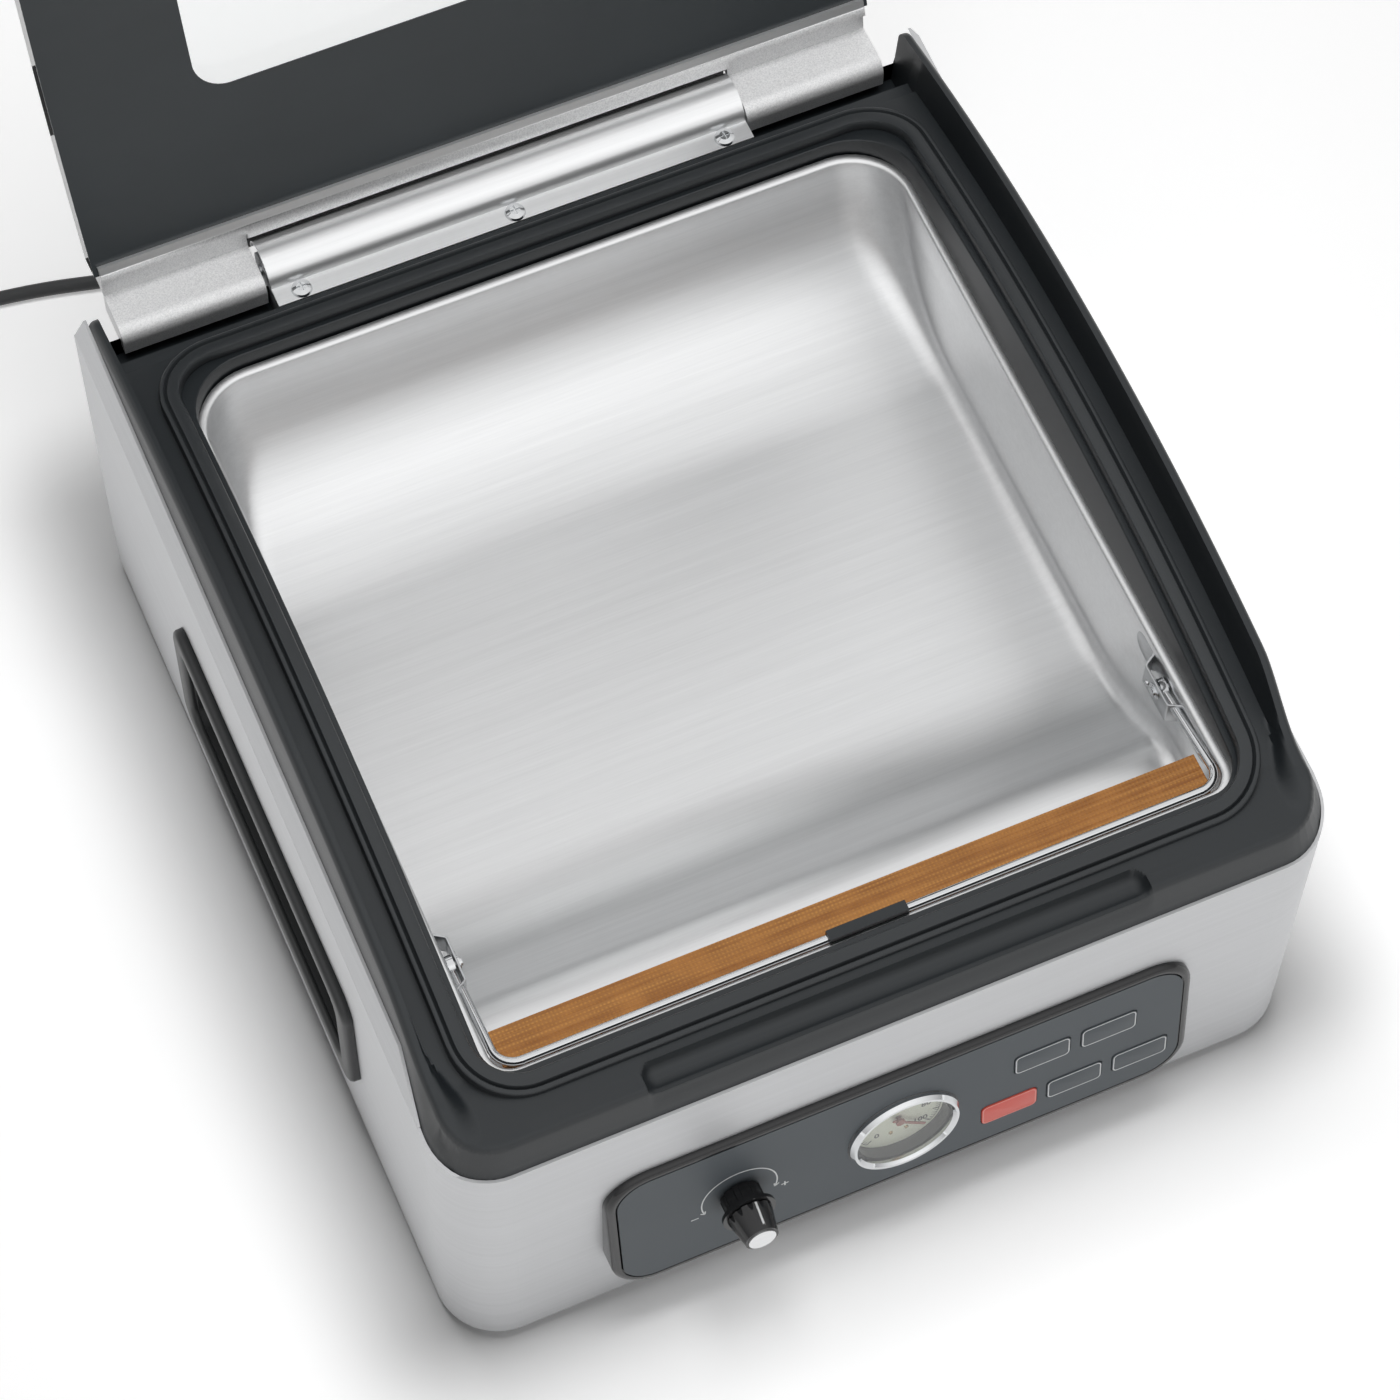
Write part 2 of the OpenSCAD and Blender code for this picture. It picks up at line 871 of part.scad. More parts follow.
module release_tape() {
    color("peru")
    place()
    difference() {
        translate([-bar_half, bar_y0, bar_z0 + bar_h - tape_drop])
            cube([2 * bar_half, bar_w, tape_drop]);
        translate([-bar_half - 1, bar_y0 + tape_t, bar_z0 - 1])
            cube([2 * bar_half + 2, bar_w - 2 * tape_t, bar_h - band_t - tape_t + 1]);
        translate([3 - bar_half, bar_y0 + (bar_w - band_w) / 2, bar_z0])
            cube([2 * bar_half - 6, band_w, bar_h - tape_t]);
    }
}

module lift_posts() {
    color("silver")
    place()
    for (x = [-post_x, post_x])
        translate([x, bar_y0 + bar_w / 2, post_z0])
            cylinder(h = bar_z0 - post_z0, r = post_r);
}

module lift_sleeves() {
    color("gray")
    place()
    for (x = [-post_x, post_x])
        translate([x, bar_y0 + bar_w / 2, sleeve_z0])
            difference() {
                cylinder(h = shelf_bar_z - pan_t - sleeve_z0, r = post_r + fit + sleeve_t);
                translate([0, 0, 4])
                    cylinder(h = shelf_bar_z, r = post_r + fit);
            }
}

// ---- bag bail ----

module wire_collar() {
    translate([0, 0, -collar_l / 2])
        cylinder(h = collar_l, r = wire_r + seam, $fn = 48);
}

module wire_arm() {
    slope = atan((wire_z - pivot_z) / arm_l);
    reach = norm([arm_l, wire_z - pivot_z]);
    translate([arm_x, pivot_y, pivot_z])
        rotate([90 - slope, 0, 0]) {
            translate([0, 0, eye_r - 1])
                cylinder(h = reach - eye_r + 1 - wire_bend - seam, r = wire_r, $fn = 48);
            translate([0, 0, reach - wire_bend])
                wire_collar();
            translate([-wire_bend, 0, reach - wire_bend])
                rotate([90, 0, 0])
                    rotate_extrude(angle = 90, $fn = 48)
                        translate([wire_bend, 0])
                            circle(wire_r, $fn = 48);
        }
}

module bail_wire() {
    bar_end = arm_x - wire_bend;
    color("white")
    place()
    difference() {
        union() {
            rod_x(seam - bar_end, bar_end - seam, wire_r, wire_y, wire_z, $fn = 48);
            both_sides() {
                wire_arm();
                translate([bar_end, wire_y, wire_z])
                    rotate([0, 90, 0])
                        wire_collar();
                rod_x(arm_x - eye_t / 2, arm_x + eye_t / 2, eye_r, pivot_y, pivot_z);
            }
        }
        both_sides()
            rod_x(arm_x - 5, arm_x + 5, rivet_r + fit, pivot_y, pivot_z);
    }
}

module bail_tab() {
    color("dimgray")
    place()
    difference() {
        translate([-tab_half, wire_y - tab_w / 2, wire_z - tab_h / 2])
            cube([2 * tab_half, tab_w, tab_h]);
        rod_x(-tab_half - 1, tab_half + 1, wire_r, wire_y, wire_z, $fn = 48);
    }
}

module bail_bracket() {
    x0 = pan_half - strap_t;
    x1 = arm_x - eye_t / 2 - eye_gap - strap_t;
    difference() {
        union() {
            translate([x0, pivot_y - strap_fore, pivot_z - strap_h / 2])
                cube([strap_t, strap_l, strap_h]);
            translate([x1, pivot_y - box_l / 2, pivot_z - box_drop])
                cube([strap_t, box_l, box_h]);
            translate([x1, pivot_y - box_l / 2, pivot_z - box_drop])
                cube([x0 - x1 + strap_t, box_l, strap_t]);
            translate([x1, pivot_y + box_l / 2 - box_wall, pivot_z - box_drop])
                cube([x0 - x1 + strap_t, box_wall, box_h]);
        }
        rod_x(x1 - 1, pan_half + 1, rivet_r, pivot_y, pivot_z);
    }
}

module bail_brackets() {
    color("silver")
    place()
    both_sides()
        bail_bracket();
}

module bail_rivets() {
    x1 = arm_x - eye_t / 2 - eye_gap - strap_t;
    color("silver")
    place()
    both_sides() {
        rod_x(x1, pan_half, rivet_r, pivot_y, pivot_z);
        rod_x(x1 - 1, x1, rivet_r + rivet_edge, pivot_y, pivot_z);
    }
}

// ---- control panel ----
// on_face(x, s): x across, s down from the face top, local Z out of the face

module on_face(x, s) {
    place()
        translate([x, face_top[0], face_top[1]])
            rotate([90 - panel_tilt, 0, 0])
                translate([0, -s, 0])
                    children();
}

module face_shape(inset, r) {
    rounded(panel_half - inset, -panel_len + inset, -inset, r);
}

module key_holes(gap) {
    for (x = key_up_x)
        translate([x, -key_up_s])
            key_shape(gap);
    for (x = key_low_x)
        translate([x, -key_low_s])
            key_shape(gap);
}

module key_shape(gap) {
    rounded(key_w / 2 + gap, -key_h / 2 - gap, key_h / 2 + gap, key_r);
}

module panel_holes(gap) {
    key_holes(gap);
    translate([0, -gauge_s])
        circle(gauge_r - bezel_w + gap);
    translate([knob_x, -knob_s])
        circle(bushing_r + gap / 10);
}

module panel_housing() {
    back = housing_back;
    color("dimgray")
    difference() {
        on_face(0, 0)
            difference() {
                translate([0, 0, -back])
                    linear_extrude(back)
                        face_shape(0, panel_r);
                translate([0, 0, -back - 1])
                    linear_extrude(back + 1 - panel_t - overlay_t)
                        face_shape(panel_t, panel_r - panel_t);
                translate([0, 0, -overlay_t])
                    linear_extrude(5)
                        face_shape(border_w + line_w, panel_r - border_w - line_w);
                translate([0, 0, -line_d])
                    linear_extrude(5)
                        difference() {
                            face_shape(border_w, panel_r - border_w);
                            face_shape(border_w + line_w, panel_r - border_w - line_w);
                        }
                translate([0, 0, -back])
                    linear_extrude(back + 5)
                        panel_holes(key_gap);
            }
        place()
            translate([-half_w, 0, -front_h])
                cube([body_w, 2 * housing_back, 3 * front_h]);
    }
}

module panel_overlay() {
    color("dimgray")
    on_face(0, 0)
        translate([0, 0, -overlay_t])
            linear_extrude(overlay_t)
                difference() {
                    face_shape(border_w + line_w, panel_r - border_w - line_w);
                    key_holes(key_gap);
                    translate([0, -gauge_s])
                        circle(gauge_r - bezel_w + key_gap);
                    translate([knob_x, -knob_s])
                        circle(bushing_r + 0.1);
                }
}

module key_pad(x, s) {
    on_face(x, s) {
        translate([0, 0, key_out - key_d])
            linear_extrude(key_d)
                key_shape(0);
        translate([0, 0, key_out - key_d - 3])
            cylinder(h = 3, r = 2);
    }
}

module key_upper_left() {
    color("gray")
    key_pad(key_up_x[0], key_up_s);
}

module key_upper_right() {
    color("gray")
    key_pad(key_up_x[1], key_up_s);
}

module key_stop() {
    color("red")
    key_pad(key_low_x[0], key_low_s);
}

module key_lower_mid() {
    color("gray")
    key_pad(key_low_x[1], key_low_s);
}

module key_lower_right() {
    color("gray")
    key_pad(key_low_x[2], key_low_s);
}

module key_board() {
    color("green")
    on_face(0, 0)
        translate([gauge_r + 6, -key_low_s - 12, -key_d - 6.5])
            cube([panel_half - gauge_r - 18, key_low_s - key_up_s + 24, 1.6]);
}

// ---- gauge ----

module gauge_case() {
    color("dimgray")
    on_face(0, gauge_s)
        difference() {
            translate([0, 0, -gauge_d])
                cylinder(h = gauge_d, r = gauge_r - bezel_w);
            translate([0, 0, -6])
                cylinder(h = 7, r = gauge_r - bezel_w - 1);
            translate([0, 0, -12])
                cylinder(h = 13, r = needle_r + fit);
        }
}

module gauge_bezel() {
    color("white")
    on_face(0, gauge_s)
        rotate_extrude()
            polygon([[gauge_r - bezel_w, 0], [gauge_r, 0], [gauge_r, bezel_out * 0.5],
                     [gauge_r - bezel_w * 0.35, bezel_out], [gauge_r - bezel_w * 0.7, bezel_out],
                     [gauge_r - bezel_w, bezel_out * 0.6]]);
}

module gauge_lens() {
    color("lightblue")
    on_face(0, gauge_s)
        cylinder(h = lens_t, r = gauge_r - bezel_w);
}

module gauge_dial() {
    color("beige")
    on_face(0, gauge_s)
        translate([0, 0, -6])
            difference() {
                cylinder(h = 0.8, r = gauge_r - bezel_w - 1);
                translate([0, 0, -1])
                    cylinder(h = 4, r = needle_r + 0.4);
            }
}

module gauge_needle() {
    color("brown")
    on_face(0, gauge_s) {
        translate([0, 0, -11])
            cylinder(h = 8, r = needle_r);
        translate([0, 0, -3.4])
            cylinder(h = 0.8, r = 2);
        rotate([0, 0, needle_rest])
            translate([-4, -0.6, -3.4])
                cube([needle_l + 4, 1.2, 0.5]);
    }
}

// ---- knobs ----

module fluted(r0, r1, l) {
    difference() {
        cylinder(h = l, r1 = r0, r2 = r1);
        for (i = [0 : flutes - 1])
            rotate([0, 0, 360 * i / flutes])
                translate([r0 + 1, 0, -1])
                    cylinder(h = l + 2, r = 1.6, $fn = 24);
    }
}

module knob_rear() {
    color("black")
    on_face(knob_x, knob_s)
        difference() {
            union() {
                translate([0, 0, knob_gap])
                    fluted(knob_rear_r, knob_rear_r, knob_rear_l);
                translate([0, 0, knob_gap + knob_rear_l])
                    cylinder(h = flange_t, r = flange_r);
                translate([0, 0, -bushing_l - 4])
                    cylinder(h = bushing_l + 6, r = shaft_out_r);
            }
            translate([0, 0, -bushing_l - 5])
                cylinder(h = bushing_l + 40, r = shaft_in_r + fit);
        }
}

module knob_front() {
    z0 = knob_gap * 2 + knob_rear_l + flange_t;
    color("black")
    on_face(knob_x, knob_s) {
        translate([0, 0, z0])
            fluted(knob_front_r, knob_cap_r, knob_front_l);
        translate([0, 0, -bushing_l - 6])
            cylinder(h = bushing_l + 6 + z0 + 1, r = shaft_in_r);
    }
}

module knob_cap() {
    z0 = knob_gap * 2 + knob_rear_l + flange_t + knob_front_l;
    color("white")
    on_face(knob_x, knob_s)
        translate([0, 0, z0])
            cylinder(h = cap_t, r = cap_r);
}

module knob_bushing() {
    color("silver")
    on_face(knob_x, knob_s)
        difference() {
            union() {
                translate([0, 0, -bushing_l])
                    cylinder(h = bushing_l, r = bushing_r);
                translate([-10, -10, -bushing_l - 12])
                    cube([20, 20, 12]);
            }
            translate([0, 0, -bushing_l - 8])
                cylinder(h = bushing_l + 10, r = shaft_out_r + fit);
        }
}

// ---- side handles ----

module handle() {
    x0 = half_w;
    side_cut(x0, x0 + grab_out)
        difference() {
            grab_outline(0);
            grab_outline(grab_w);
        }
    difference() {
        side_cut(x0 - grab_d, x0 + eps)
            grab_outline(grab_w - 1 + pan_gap);
        side_cut(x0 - grab_d + grab_t, x0 + 5)
            grab_outline(grab_w - 1 + pan_gap + grab_t);
    }
}

module handle_right() {
    color("black")
    place()
    handle();
}

module handle_left() {
    color("black")
    place()
    mirror([1, 0, 0])
        handle();
}

// ---- lid ----

module lid_shell(r0, r1) {
    intersection() {
        difference() {
            rod_x(-lid_half, lid_half, r1, arch_y, arch_c, $fn = 360);
            rod_x(-lid_half - 1, lid_half + 1, r0, arch_y, arch_c, $fn = 360);
        }
        translate([0, 0, rim_z])
            linear_extrude(80)
                front_rounded(lid_half, lid_y0, lid_y1, lid_r);
    }
}

module lid_panel() {
    color("lightblue", 0.5)
    opened_lid()
        lid_shell(lid_in_r + ink_t, lid_out_r);
}

module lid_border() {
    color("black")
    opened_lid()
        difference() {
            lid_shell(lid_in_r, lid_in_r + ink_t);
            translate([0, 0, rim_z])
                linear_extrude(80)
                    rounded(lid_half - window_side, lid_y0 + window_front,
                            lid_y1 - window_back, window_r);
        }
}

module press_holder() {
    top = arch(bar_y0 + bar_w / 2, lid_in_r) + 6;
    color("silver")
    opened_lid()
        difference() {
            translate([-press_half, bar_y0 + (bar_w - press_w) / 2, press_z + 3])
                cube([2 * press_half, press_w, top - press_z - 3]);
            difference() {
                rod_x(-lid_half, lid_half, lid_out_r + 60, arch_y, arch_c, $fn = 360);
                rod_x(-lid_half - 1, lid_half + 1, lid_in_r, arch_y, arch_c, $fn = 360);
            }
        }
}

module press_strip() {
    color("darkred")
    opened_lid()
        translate([-press_half, bar_y0 + (bar_w - press_w) / 2 + 1, press_z])
            cube([2 * press_half, press_w - 2, 3]);
}

// ---- hinge ----

module at_lid_foot() {
    translate([lid_y1, arch(lid_y1, lid_in_r)])
        rotate(-asin((lid_y1 - arch_y) / lid_in_r))
            children();
}

module lid_channel() {
    at_lid_foot() {
        translate([0, -lip_t])
            square([lip_t, lid_t + 0.6 + 2 * lip_t]);
        translate([-lip_h, -lip_t])
            square([lip_h + 1, lip_t]);
        translate([-lip_h, lid_t + 0.6])
            square([lip_h + 1, lip_t]);
    }
}

module lid_rail() {
    color("silver")
    opened_lid()
        side_cut(-knuckle_x1, knuckle_x1)
            difference() {
                lid_channel();
                translate([arch_y, arch_c])
                    difference() {
                        circle(lid_out_r, $fn = 720);
                        circle(lid_in_r, $fn = 720);
                        translate([lid_y1 - arch_y, 0])
                            square(2 * arch_r);
                    }
            }
}

module knuckle_profile() {
    foot = opened([lid_y1 + 1, arch(lid_y1, lid_in_r)]);
    tip = opened([lid_y1 + 1, arch(lid_y1, lid_in_r) + lid_t - 3]);
    top = hinge_z + knuckle_up;
    low = hinge_z - knuckle_down;
    nose = hinge_y - knuckle_fore;
    translate([nose + nose_r, top - nose_r])
        circle(nose_r);
    translate([nose, low])
        square([nose_r, top - nose_r - low]);
    translate([nose + nose_r - eps, low])
        square([knuckle_fore - nose_r + knuckle_aft, top - low]);
    polygon([[foot[0] - 2, top - 1], foot, tip, [tip[0] + 1, top - 1]]);
}

module lid_knuckles() {
    color("silver")
    place()
    both_sides()
        difference() {
            side_cut(knuckle_x0, knuckle_x1)
                difference() {
                    knuckle_profile();
                    translate([hinge_y, hinge_z])
                        rotate(-lid_open)
                            translate([-hinge_y, -hinge_z])
                                at_lid_foot()
                                    translate([-3 * lip_h, -lip_t])
                                        square([3 * lip_h + lip_t, lid_t + 0.6 + 2 * lip_t]);
                }
            rod_x(knuckle_x0 - 1, pin_half + 0.5, pin_r + fit, hinge_y, hinge_z);
        }
}

module hinge_bracket() {
    color("gray")
    place()
    difference() {
        union() {
            translate([-cover_half, cover_y0, shelf_z])
                cube([2 * cover_half, cover_flange, cover_z - cover_t - shelf_z]);
            both_sides() {
                rod_x(cover_half - 6, cover_half, 7.5, hinge_y, hinge_z);
                side_cut(cover_half - 6, cover_half)
                    polygon([[cover_y0 + 3, shelf_z], [hinge_y - 9, shelf_z], [hinge_y + 7, hinge_z - 6],
                             [hinge_y + 7, hinge_z], [cover_y0 + 3, hinge_z]]);
            }
        }
        rod_x(-pin_half, pin_half, pin_r, hinge_y, hinge_z);
    }
}

module hinge_pin() {
    color("silver")
    place()
    rod_x(-pin_half, pin_half, pin_r, hinge_y, hinge_z);
}

module hinge_springs() {
    pitch = (cover_half - 14) / spring_n / 1.6;
    color("gray")
    place()
    both_sides()
        translate([cover_half - 8 - spring_n * pitch, hinge_y, hinge_z])
            rotate([0, 90, 0])
                rotate_extrude($fn = 48)
                    difference() {
                        translate([pin_r + 0.5, 0])
                            square([spring_r - pin_r - 0.5, spring_n * pitch]);
                        for (i = [0 : spring_n])
                            translate([spring_r + 0.2, i * pitch])
                                circle(spring_w / 3, $fn = 8);
                    }
}

module cover_arc(r) {
    intersection() {
        translate([hinge_y, hinge_z])
            circle(r);
        translate([cover_y0 + cover_flange, cover_z - cover_t])
            square([60, 40]);
    }
}

module hinge_cover() {
    color("silver")
    place()
    difference() {
        union() {
            translate([-cover_half, cover_y0, cover_z - cover_t])
                cube([2 * cover_half, cover_flange + 3, cover_t]);
            side_cut(-cover_half, cover_half)
                difference() {
                    cover_arc(cover_r);
                    cover_arc(cover_r - cover_t);
                }
        }
        for (x = [-screw_x, 0, screw_x])
            translate([x, cover_y0 + 4.4, cover_z - 5])
                cylinder(h = 10, r = 1.6);
    }
}

module hinge_screws() {
    color("silver")
    place()
    for (x = [-screw_x, 0, screw_x])
        translate([x, cover_y0 + 4.4, cover_z]) {
            difference() {
                rotate_extrude()
                    polygon([[0, 0], [screw_r, 0], [screw_r * 0.9, screw_h * 0.6],
                             [screw_r * 0.5, screw_h], [0, screw_h]]);
                for (a = [0, 90])
                    rotate([0, 0, a])
                        translate([-2.2, -0.4, screw_h - 1])
                            cube([4.4, 0.8, 2]);
            }
            translate([0, 0, -1.2])
                cylinder(h = 1.3, r = 1.5);
        }
}

// ---- works inside ----

module pump_motor() {
    color("dimgray")
    place()
    translate([0, body_d / 2, sheet_t + motor_rise + motor_r]) {
        difference() {
            rod_x(-motor_l / 2, motor_l / 2, motor_r, 0, 0);
            rod_x(motor_l / 2 - shaft_l - blade_l, motor_l / 2 + 1, shaft_r + fit, 0, 0);
        }
        translate([-motor_l / 2, -foot_half, -motor_r - motor_rise])
            cube([motor_l, 2 * foot_half, 2 * motor_rise]);
    }
}

module pump_fan() {
    color("gray")
    place()
    translate([0, body_d / 2, sheet_t + motor_rise + motor_r]) {
        rod_x(motor_l / 2 - shaft_l, hub_x + hub_l, shaft_r, 0, 0);
        rod_x(hub_x, hub_x + hub_l, hub_r, 0, 0);
        for (i = [0 : 6])
            rotate([360 / 7 * i, 0, 0])
                translate([hub_x + 1, -blade_t / 2, hub_r - blade_t])
                    cube([blade_l, blade_t, blade_h]);
    }
}

module pump_head() {
    color("gray")
    place()
    translate([-motor_l / 2 - head_l, body_d / 2, sheet_t]) {
        translate([0, -head_w / 2, 0])
            cube([head_l, head_w, head_h]);
        for (y = [-pot_y, pot_y])
            translate([head_l / 2, y, head_h])
                cylinder(h = pot_h, r = pot_r);
        for (i = [0 : 5])
            translate([fin_out + fin_pitch * i, -head_w / 2 - fin_out, 2 * fin_out])
                cube([fin_t, fin_out, head_h - 4 * fin_out]);
    }
}

module transformer() {
    color("black")
    place()
    translate([half_w - core_side - core_w, body_d - core_back, sheet_t]) {
        cube([core_w, core_h, core_h]);
        translate([core_inset, -wind_out, wind_out])
            cube([core_w - 2 * core_inset, wind_l, wind_h]);
    }
}

module control_board() {
    color("green")
    place()
    translate([-board_w / 2, board_y, sheet_t]) {
        for (x = [board_edge, board_w - 2 * board_edge])
            for (y = [board_edge, board_l - 2 * board_edge])
                translate([x, y, 0])
                    cylinder(h = board_leg, r = board_leg_r);
        translate([0, 0, board_leg])
            cube([board_w, board_l, board_t]);
        for (i = [0 : 3])
            translate([3 * board_edge + chip_pitch * i, chip_w, board_leg + board_t])
                cube([chip_w, chip_l, chip_h * (1 + (i % 2) / 2)]);
    }
}

module valves() {
    color("gray")
    place()
    for (i = [0 : 1])
        translate([half_w - valve_side, core_side + valve_pitch * i, sheet_t]) {
            cube([valve_l, valve_w, valve_h]);
            translate([valve_l / 2, valve_w / 2, valve_h])
                cylinder(h = can_h, r = can_r);
        }
}

module hoses() {
    top_z = shelf_bar_z - pan_t;
    color("black")
    place()
    translate([port_x, port_y, 0]) {
        translate([0, 0, hose_z])
            difference() {
                cylinder(h = top_z - hose_z, r = port_r + 1.5);
                translate([0, 0, 20])
                    cylinder(h = top_z, r = port_r);
            }
        translate([0, 0, hose_z])
            sphere(port_r + 1.6);
        translate([0, 0, hose_z])
            rotate([-90, 0, 0])
                cylinder(h = (body_d - head_w) / 2 - port_y, r = port_r);
    }
}

// ---- rear ----

module power_socket() {
    color("black")
    place()
    translate([socket_x, body_d - 18, socket_z])
        difference() {
            union() {
                cube([socket_w, 18, socket_h]);
                translate([-2, 18, -2])
                    cube([socket_w + 4, 1.6, socket_h + 4]);
            }
            translate([5, 8, 3])
                cube([socket_w - 10, 20, socket_h - 6]);
            translate([-1, 15, socket_h / 2])
                rotate([0, 90, 0])
                    cylinder(h = socket_w + 2, r = 1.5 + fit);
        }
}

module power_rocker() {
    color("red")
    place()
    translate([socket_x, body_d - 18, socket_z]) {
        intersection() {
            translate([5.4, 15, socket_h / 2])
                rotate([0, 90, 0])
                    cylinder(h = socket_w - 10.8, r = 8.4);
            translate([5.4, 11, 3.5])
                cube([socket_w - 10.8, 9, socket_h - 7]);
        }
        translate([0.5, 15, socket_h / 2])
            rotate([0, 90, 0])
                cylinder(h = socket_w - 1, r = 1.5);
    }
}

module strain_relief() {
    color("black")
    place()
    translate([relief_x, body_d, relief_z])
        rotate([-90, 0, 0]) {
            translate([0, 0, -5])
                cylinder(h = 5, r = 6);
            difference() {
                cylinder(h = relief_l, r1 = 6.5, r2 = cord_r + 1);
                for (i = [1 : 4])
                    translate([0, 0, 6 * i])
                        difference() {
                            cylinder(h = 2, r = 8);
                            cylinder(h = 2, r = cord_r + 0.9);
                        }
            }
        }
}

function lerp(a, b, t) = a + (b - a) * t;
function hermite(p, q, a, b, t) = p * (2 * t * t * t - 3 * t * t + 1)
    + q * (3 * t * t - 2 * t * t * t) + a * (t * t * t - 2 * t * t + t) + b * (t * t * t - t * t);
function bend(pts, i) = (pts[min(i + 1, len(pts) - 1)] - pts[max(i - 1, 0)]) / 2;
function smooth(pts, n) = [for (i = [0 : len(pts) - 2], k = [0 : n - 1])
    hermite(pts[i], pts[i + 1], bend(pts, i), bend(pts, i + 1), k / n)];
function unit(v) = v / norm(v);
function ring_at(p, d, r, n) =
    let (s = unit(cross(d, [0, 0, 1] + [0.001, 0, 0])), u = cross(s, d))
    [for (k = [0 : n - 1]) p + r * (cos(360 * k / n) * s + sin(360 * k / n) * u)];

floor_z0 = cord_r - foot_h + 0.2;
coil_c = [relief_x - coil_side, body_d + coil_back];
plug_x = 32;
plug_y = 33;
route = [[relief_x, body_d + relief_l, relief_z], [relief_x, body_d + 50, relief_z - 2],
         [relief_x, body_d + 72, relief_z - 12], [relief_x - 1, body_d + 94, 12],
         [relief_x - 5, body_d + 112, 1], [relief_x - 14, body_d + 127, floor_z0 + 1],
         [relief_x - 30, body_d + 137, floor_z0], [relief_x - 49, body_d + 142, floor_z0],
         [relief_x - 70, body_d + 147, floor_z0], [relief_x - 100, body_d + 152, floor_z0],
         [relief_x - 135, body_d + 155, floor_z0],
         [coil_c[0], coil_c[1] - coil_r, floor_z0]];

module cord_tube(pts, r, n) {
    m = len(pts);
    rings = [for (i = [0 : m - 1])
        ring_at(pts[i], unit(pts[min(i + 1, m - 1)] - pts[max(i - 1, 0)]), r, n)];
    points = [for (q = rings, p = q) p];
    sides = [for (i = [0 : m - 2], k = [0 : n - 1])
        [i * n + k, (i + 1) * n + k, (i + 1) * n + (k + 1) % n, i * n + (k + 1) % n]];
    near = [for (k = [0 : n - 1]) k];
    far = [for (k = [0 : n - 1]) m * n - 1 - k];
    polyhedron(points = points, faces = concat(sides, [near], [far]));
}

module cord() {
    color("black")
    place()
    cord_tube(concat(smooth(route, 7), [route[len(route) - 1]]), cord_r, 10);
}

module cord_coil() {
    color("black")
    place()
    translate([coil_c[0], coil_c[1], -foot_h])
        rotate_extrude($fn = 64)
            translate([coil_r - coil_w, 0.1])
                square([2 * coil_w, coil_h]);
}

module plug() {
    color("black")
    place()
    translate([coil_c[0] + plug_x, coil_c[1] + plug_y, 0.1 - foot_h]) {
        cube([plug_l, plug_w, plug_h]);
        for (y = [6, plug_w - 12])
            translate([plug_l, y, plug_h / 2 - 1])
                cube([prong_l, 6, 2]);
    }
}

steel_wrap();
bottom_plate();
back_panel();
feet();
deck();
seal_ring();
chamber_pan();
seal_bar();
heating_band();
release_tape();
lift_posts();
lift_sleeves();
bail_wire();
bail_tab();
bail_brackets();
bail_rivets();
panel_housing();
panel_overlay();
key_upper_left();
key_upper_right();
key_stop();
key_lower_mid();
key_lower_right();
key_board();
gauge_case();
gauge_bezel();
gauge_lens();
gauge_dial();
gauge_needle();
knob_rear();
knob_front();
knob_cap();
knob_bushing();
handle_left();
handle_right();
lid_panel();
lid_border();
press_holder();
press_strip();
lid_rail();
lid_knuckles();
hinge_bracket();
hinge_pin();
hinge_springs();
hinge_cover();
hinge_screws();
pump_motor();
pump_fan();
pump_head();
transformer();
control_board();
valves();
hoses();
power_socket();
power_rocker();
strain_relief();
cord();
cord_coil();
plug();
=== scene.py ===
import math

import bmesh
import bpy
from mathutils import Matrix, Vector


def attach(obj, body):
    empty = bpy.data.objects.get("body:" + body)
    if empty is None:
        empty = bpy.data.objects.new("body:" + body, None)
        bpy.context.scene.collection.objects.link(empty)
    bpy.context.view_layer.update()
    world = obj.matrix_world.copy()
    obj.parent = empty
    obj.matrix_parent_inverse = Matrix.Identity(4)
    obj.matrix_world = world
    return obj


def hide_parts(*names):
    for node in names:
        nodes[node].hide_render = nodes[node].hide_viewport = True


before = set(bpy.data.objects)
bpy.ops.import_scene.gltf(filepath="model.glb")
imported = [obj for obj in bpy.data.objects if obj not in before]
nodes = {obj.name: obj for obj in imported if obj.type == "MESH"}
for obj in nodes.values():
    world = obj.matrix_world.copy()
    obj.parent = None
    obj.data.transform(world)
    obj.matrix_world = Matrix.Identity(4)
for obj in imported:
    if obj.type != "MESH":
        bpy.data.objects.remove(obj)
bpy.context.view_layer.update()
print("frame loaded:", len(nodes), "nodes")

# machine frame in mm: x across, y back from the front steel, z up from its lower edge
machine = {"midY": 225.38111, "foot": 8}
toRow = Matrix.Scale(0.001, 4) @ Matrix.Translation((0, -machine["midY"], machine["foot"]))

# the control panel's own frame: x across, y up the face, z out of it, origin at the face top
panel = {"top": (0, -2.8, 116), "tilt": 7, "half": 126, "length": 84.5}
toFace = toRow @ Matrix.Translation(panel["top"]) @ Matrix.Rotation(math.radians(90 - panel["tilt"]), 4, "X")

hinge = {"y": 402.5, "z": 174.5, "open": 98}
toLid = (toRow @ Matrix.Translation((0, hinge["y"], hinge["z"]))
         @ Matrix.Rotation(math.radians(-hinge["open"]), 4, "X")
         @ Matrix.Translation((0, -hinge["y"], -hinge["z"])))


def addObject(name, data):
    obj = bpy.data.objects.new(name, data)
    bpy.context.scene.collection.objects.link(obj)
    return obj


camera = {"lens": 118.31, "sensor": 36, "clip": (0.05, 50), "place": (-0.368206, -0.823839, 1.771038),
          "right": (0.91624107, -0.40044567, 0.01206554),
          "up": (0.35027053, 0.81532867, 0.46103115),
          "back": (-0.19445531, -0.41818947, 0.88730192)}


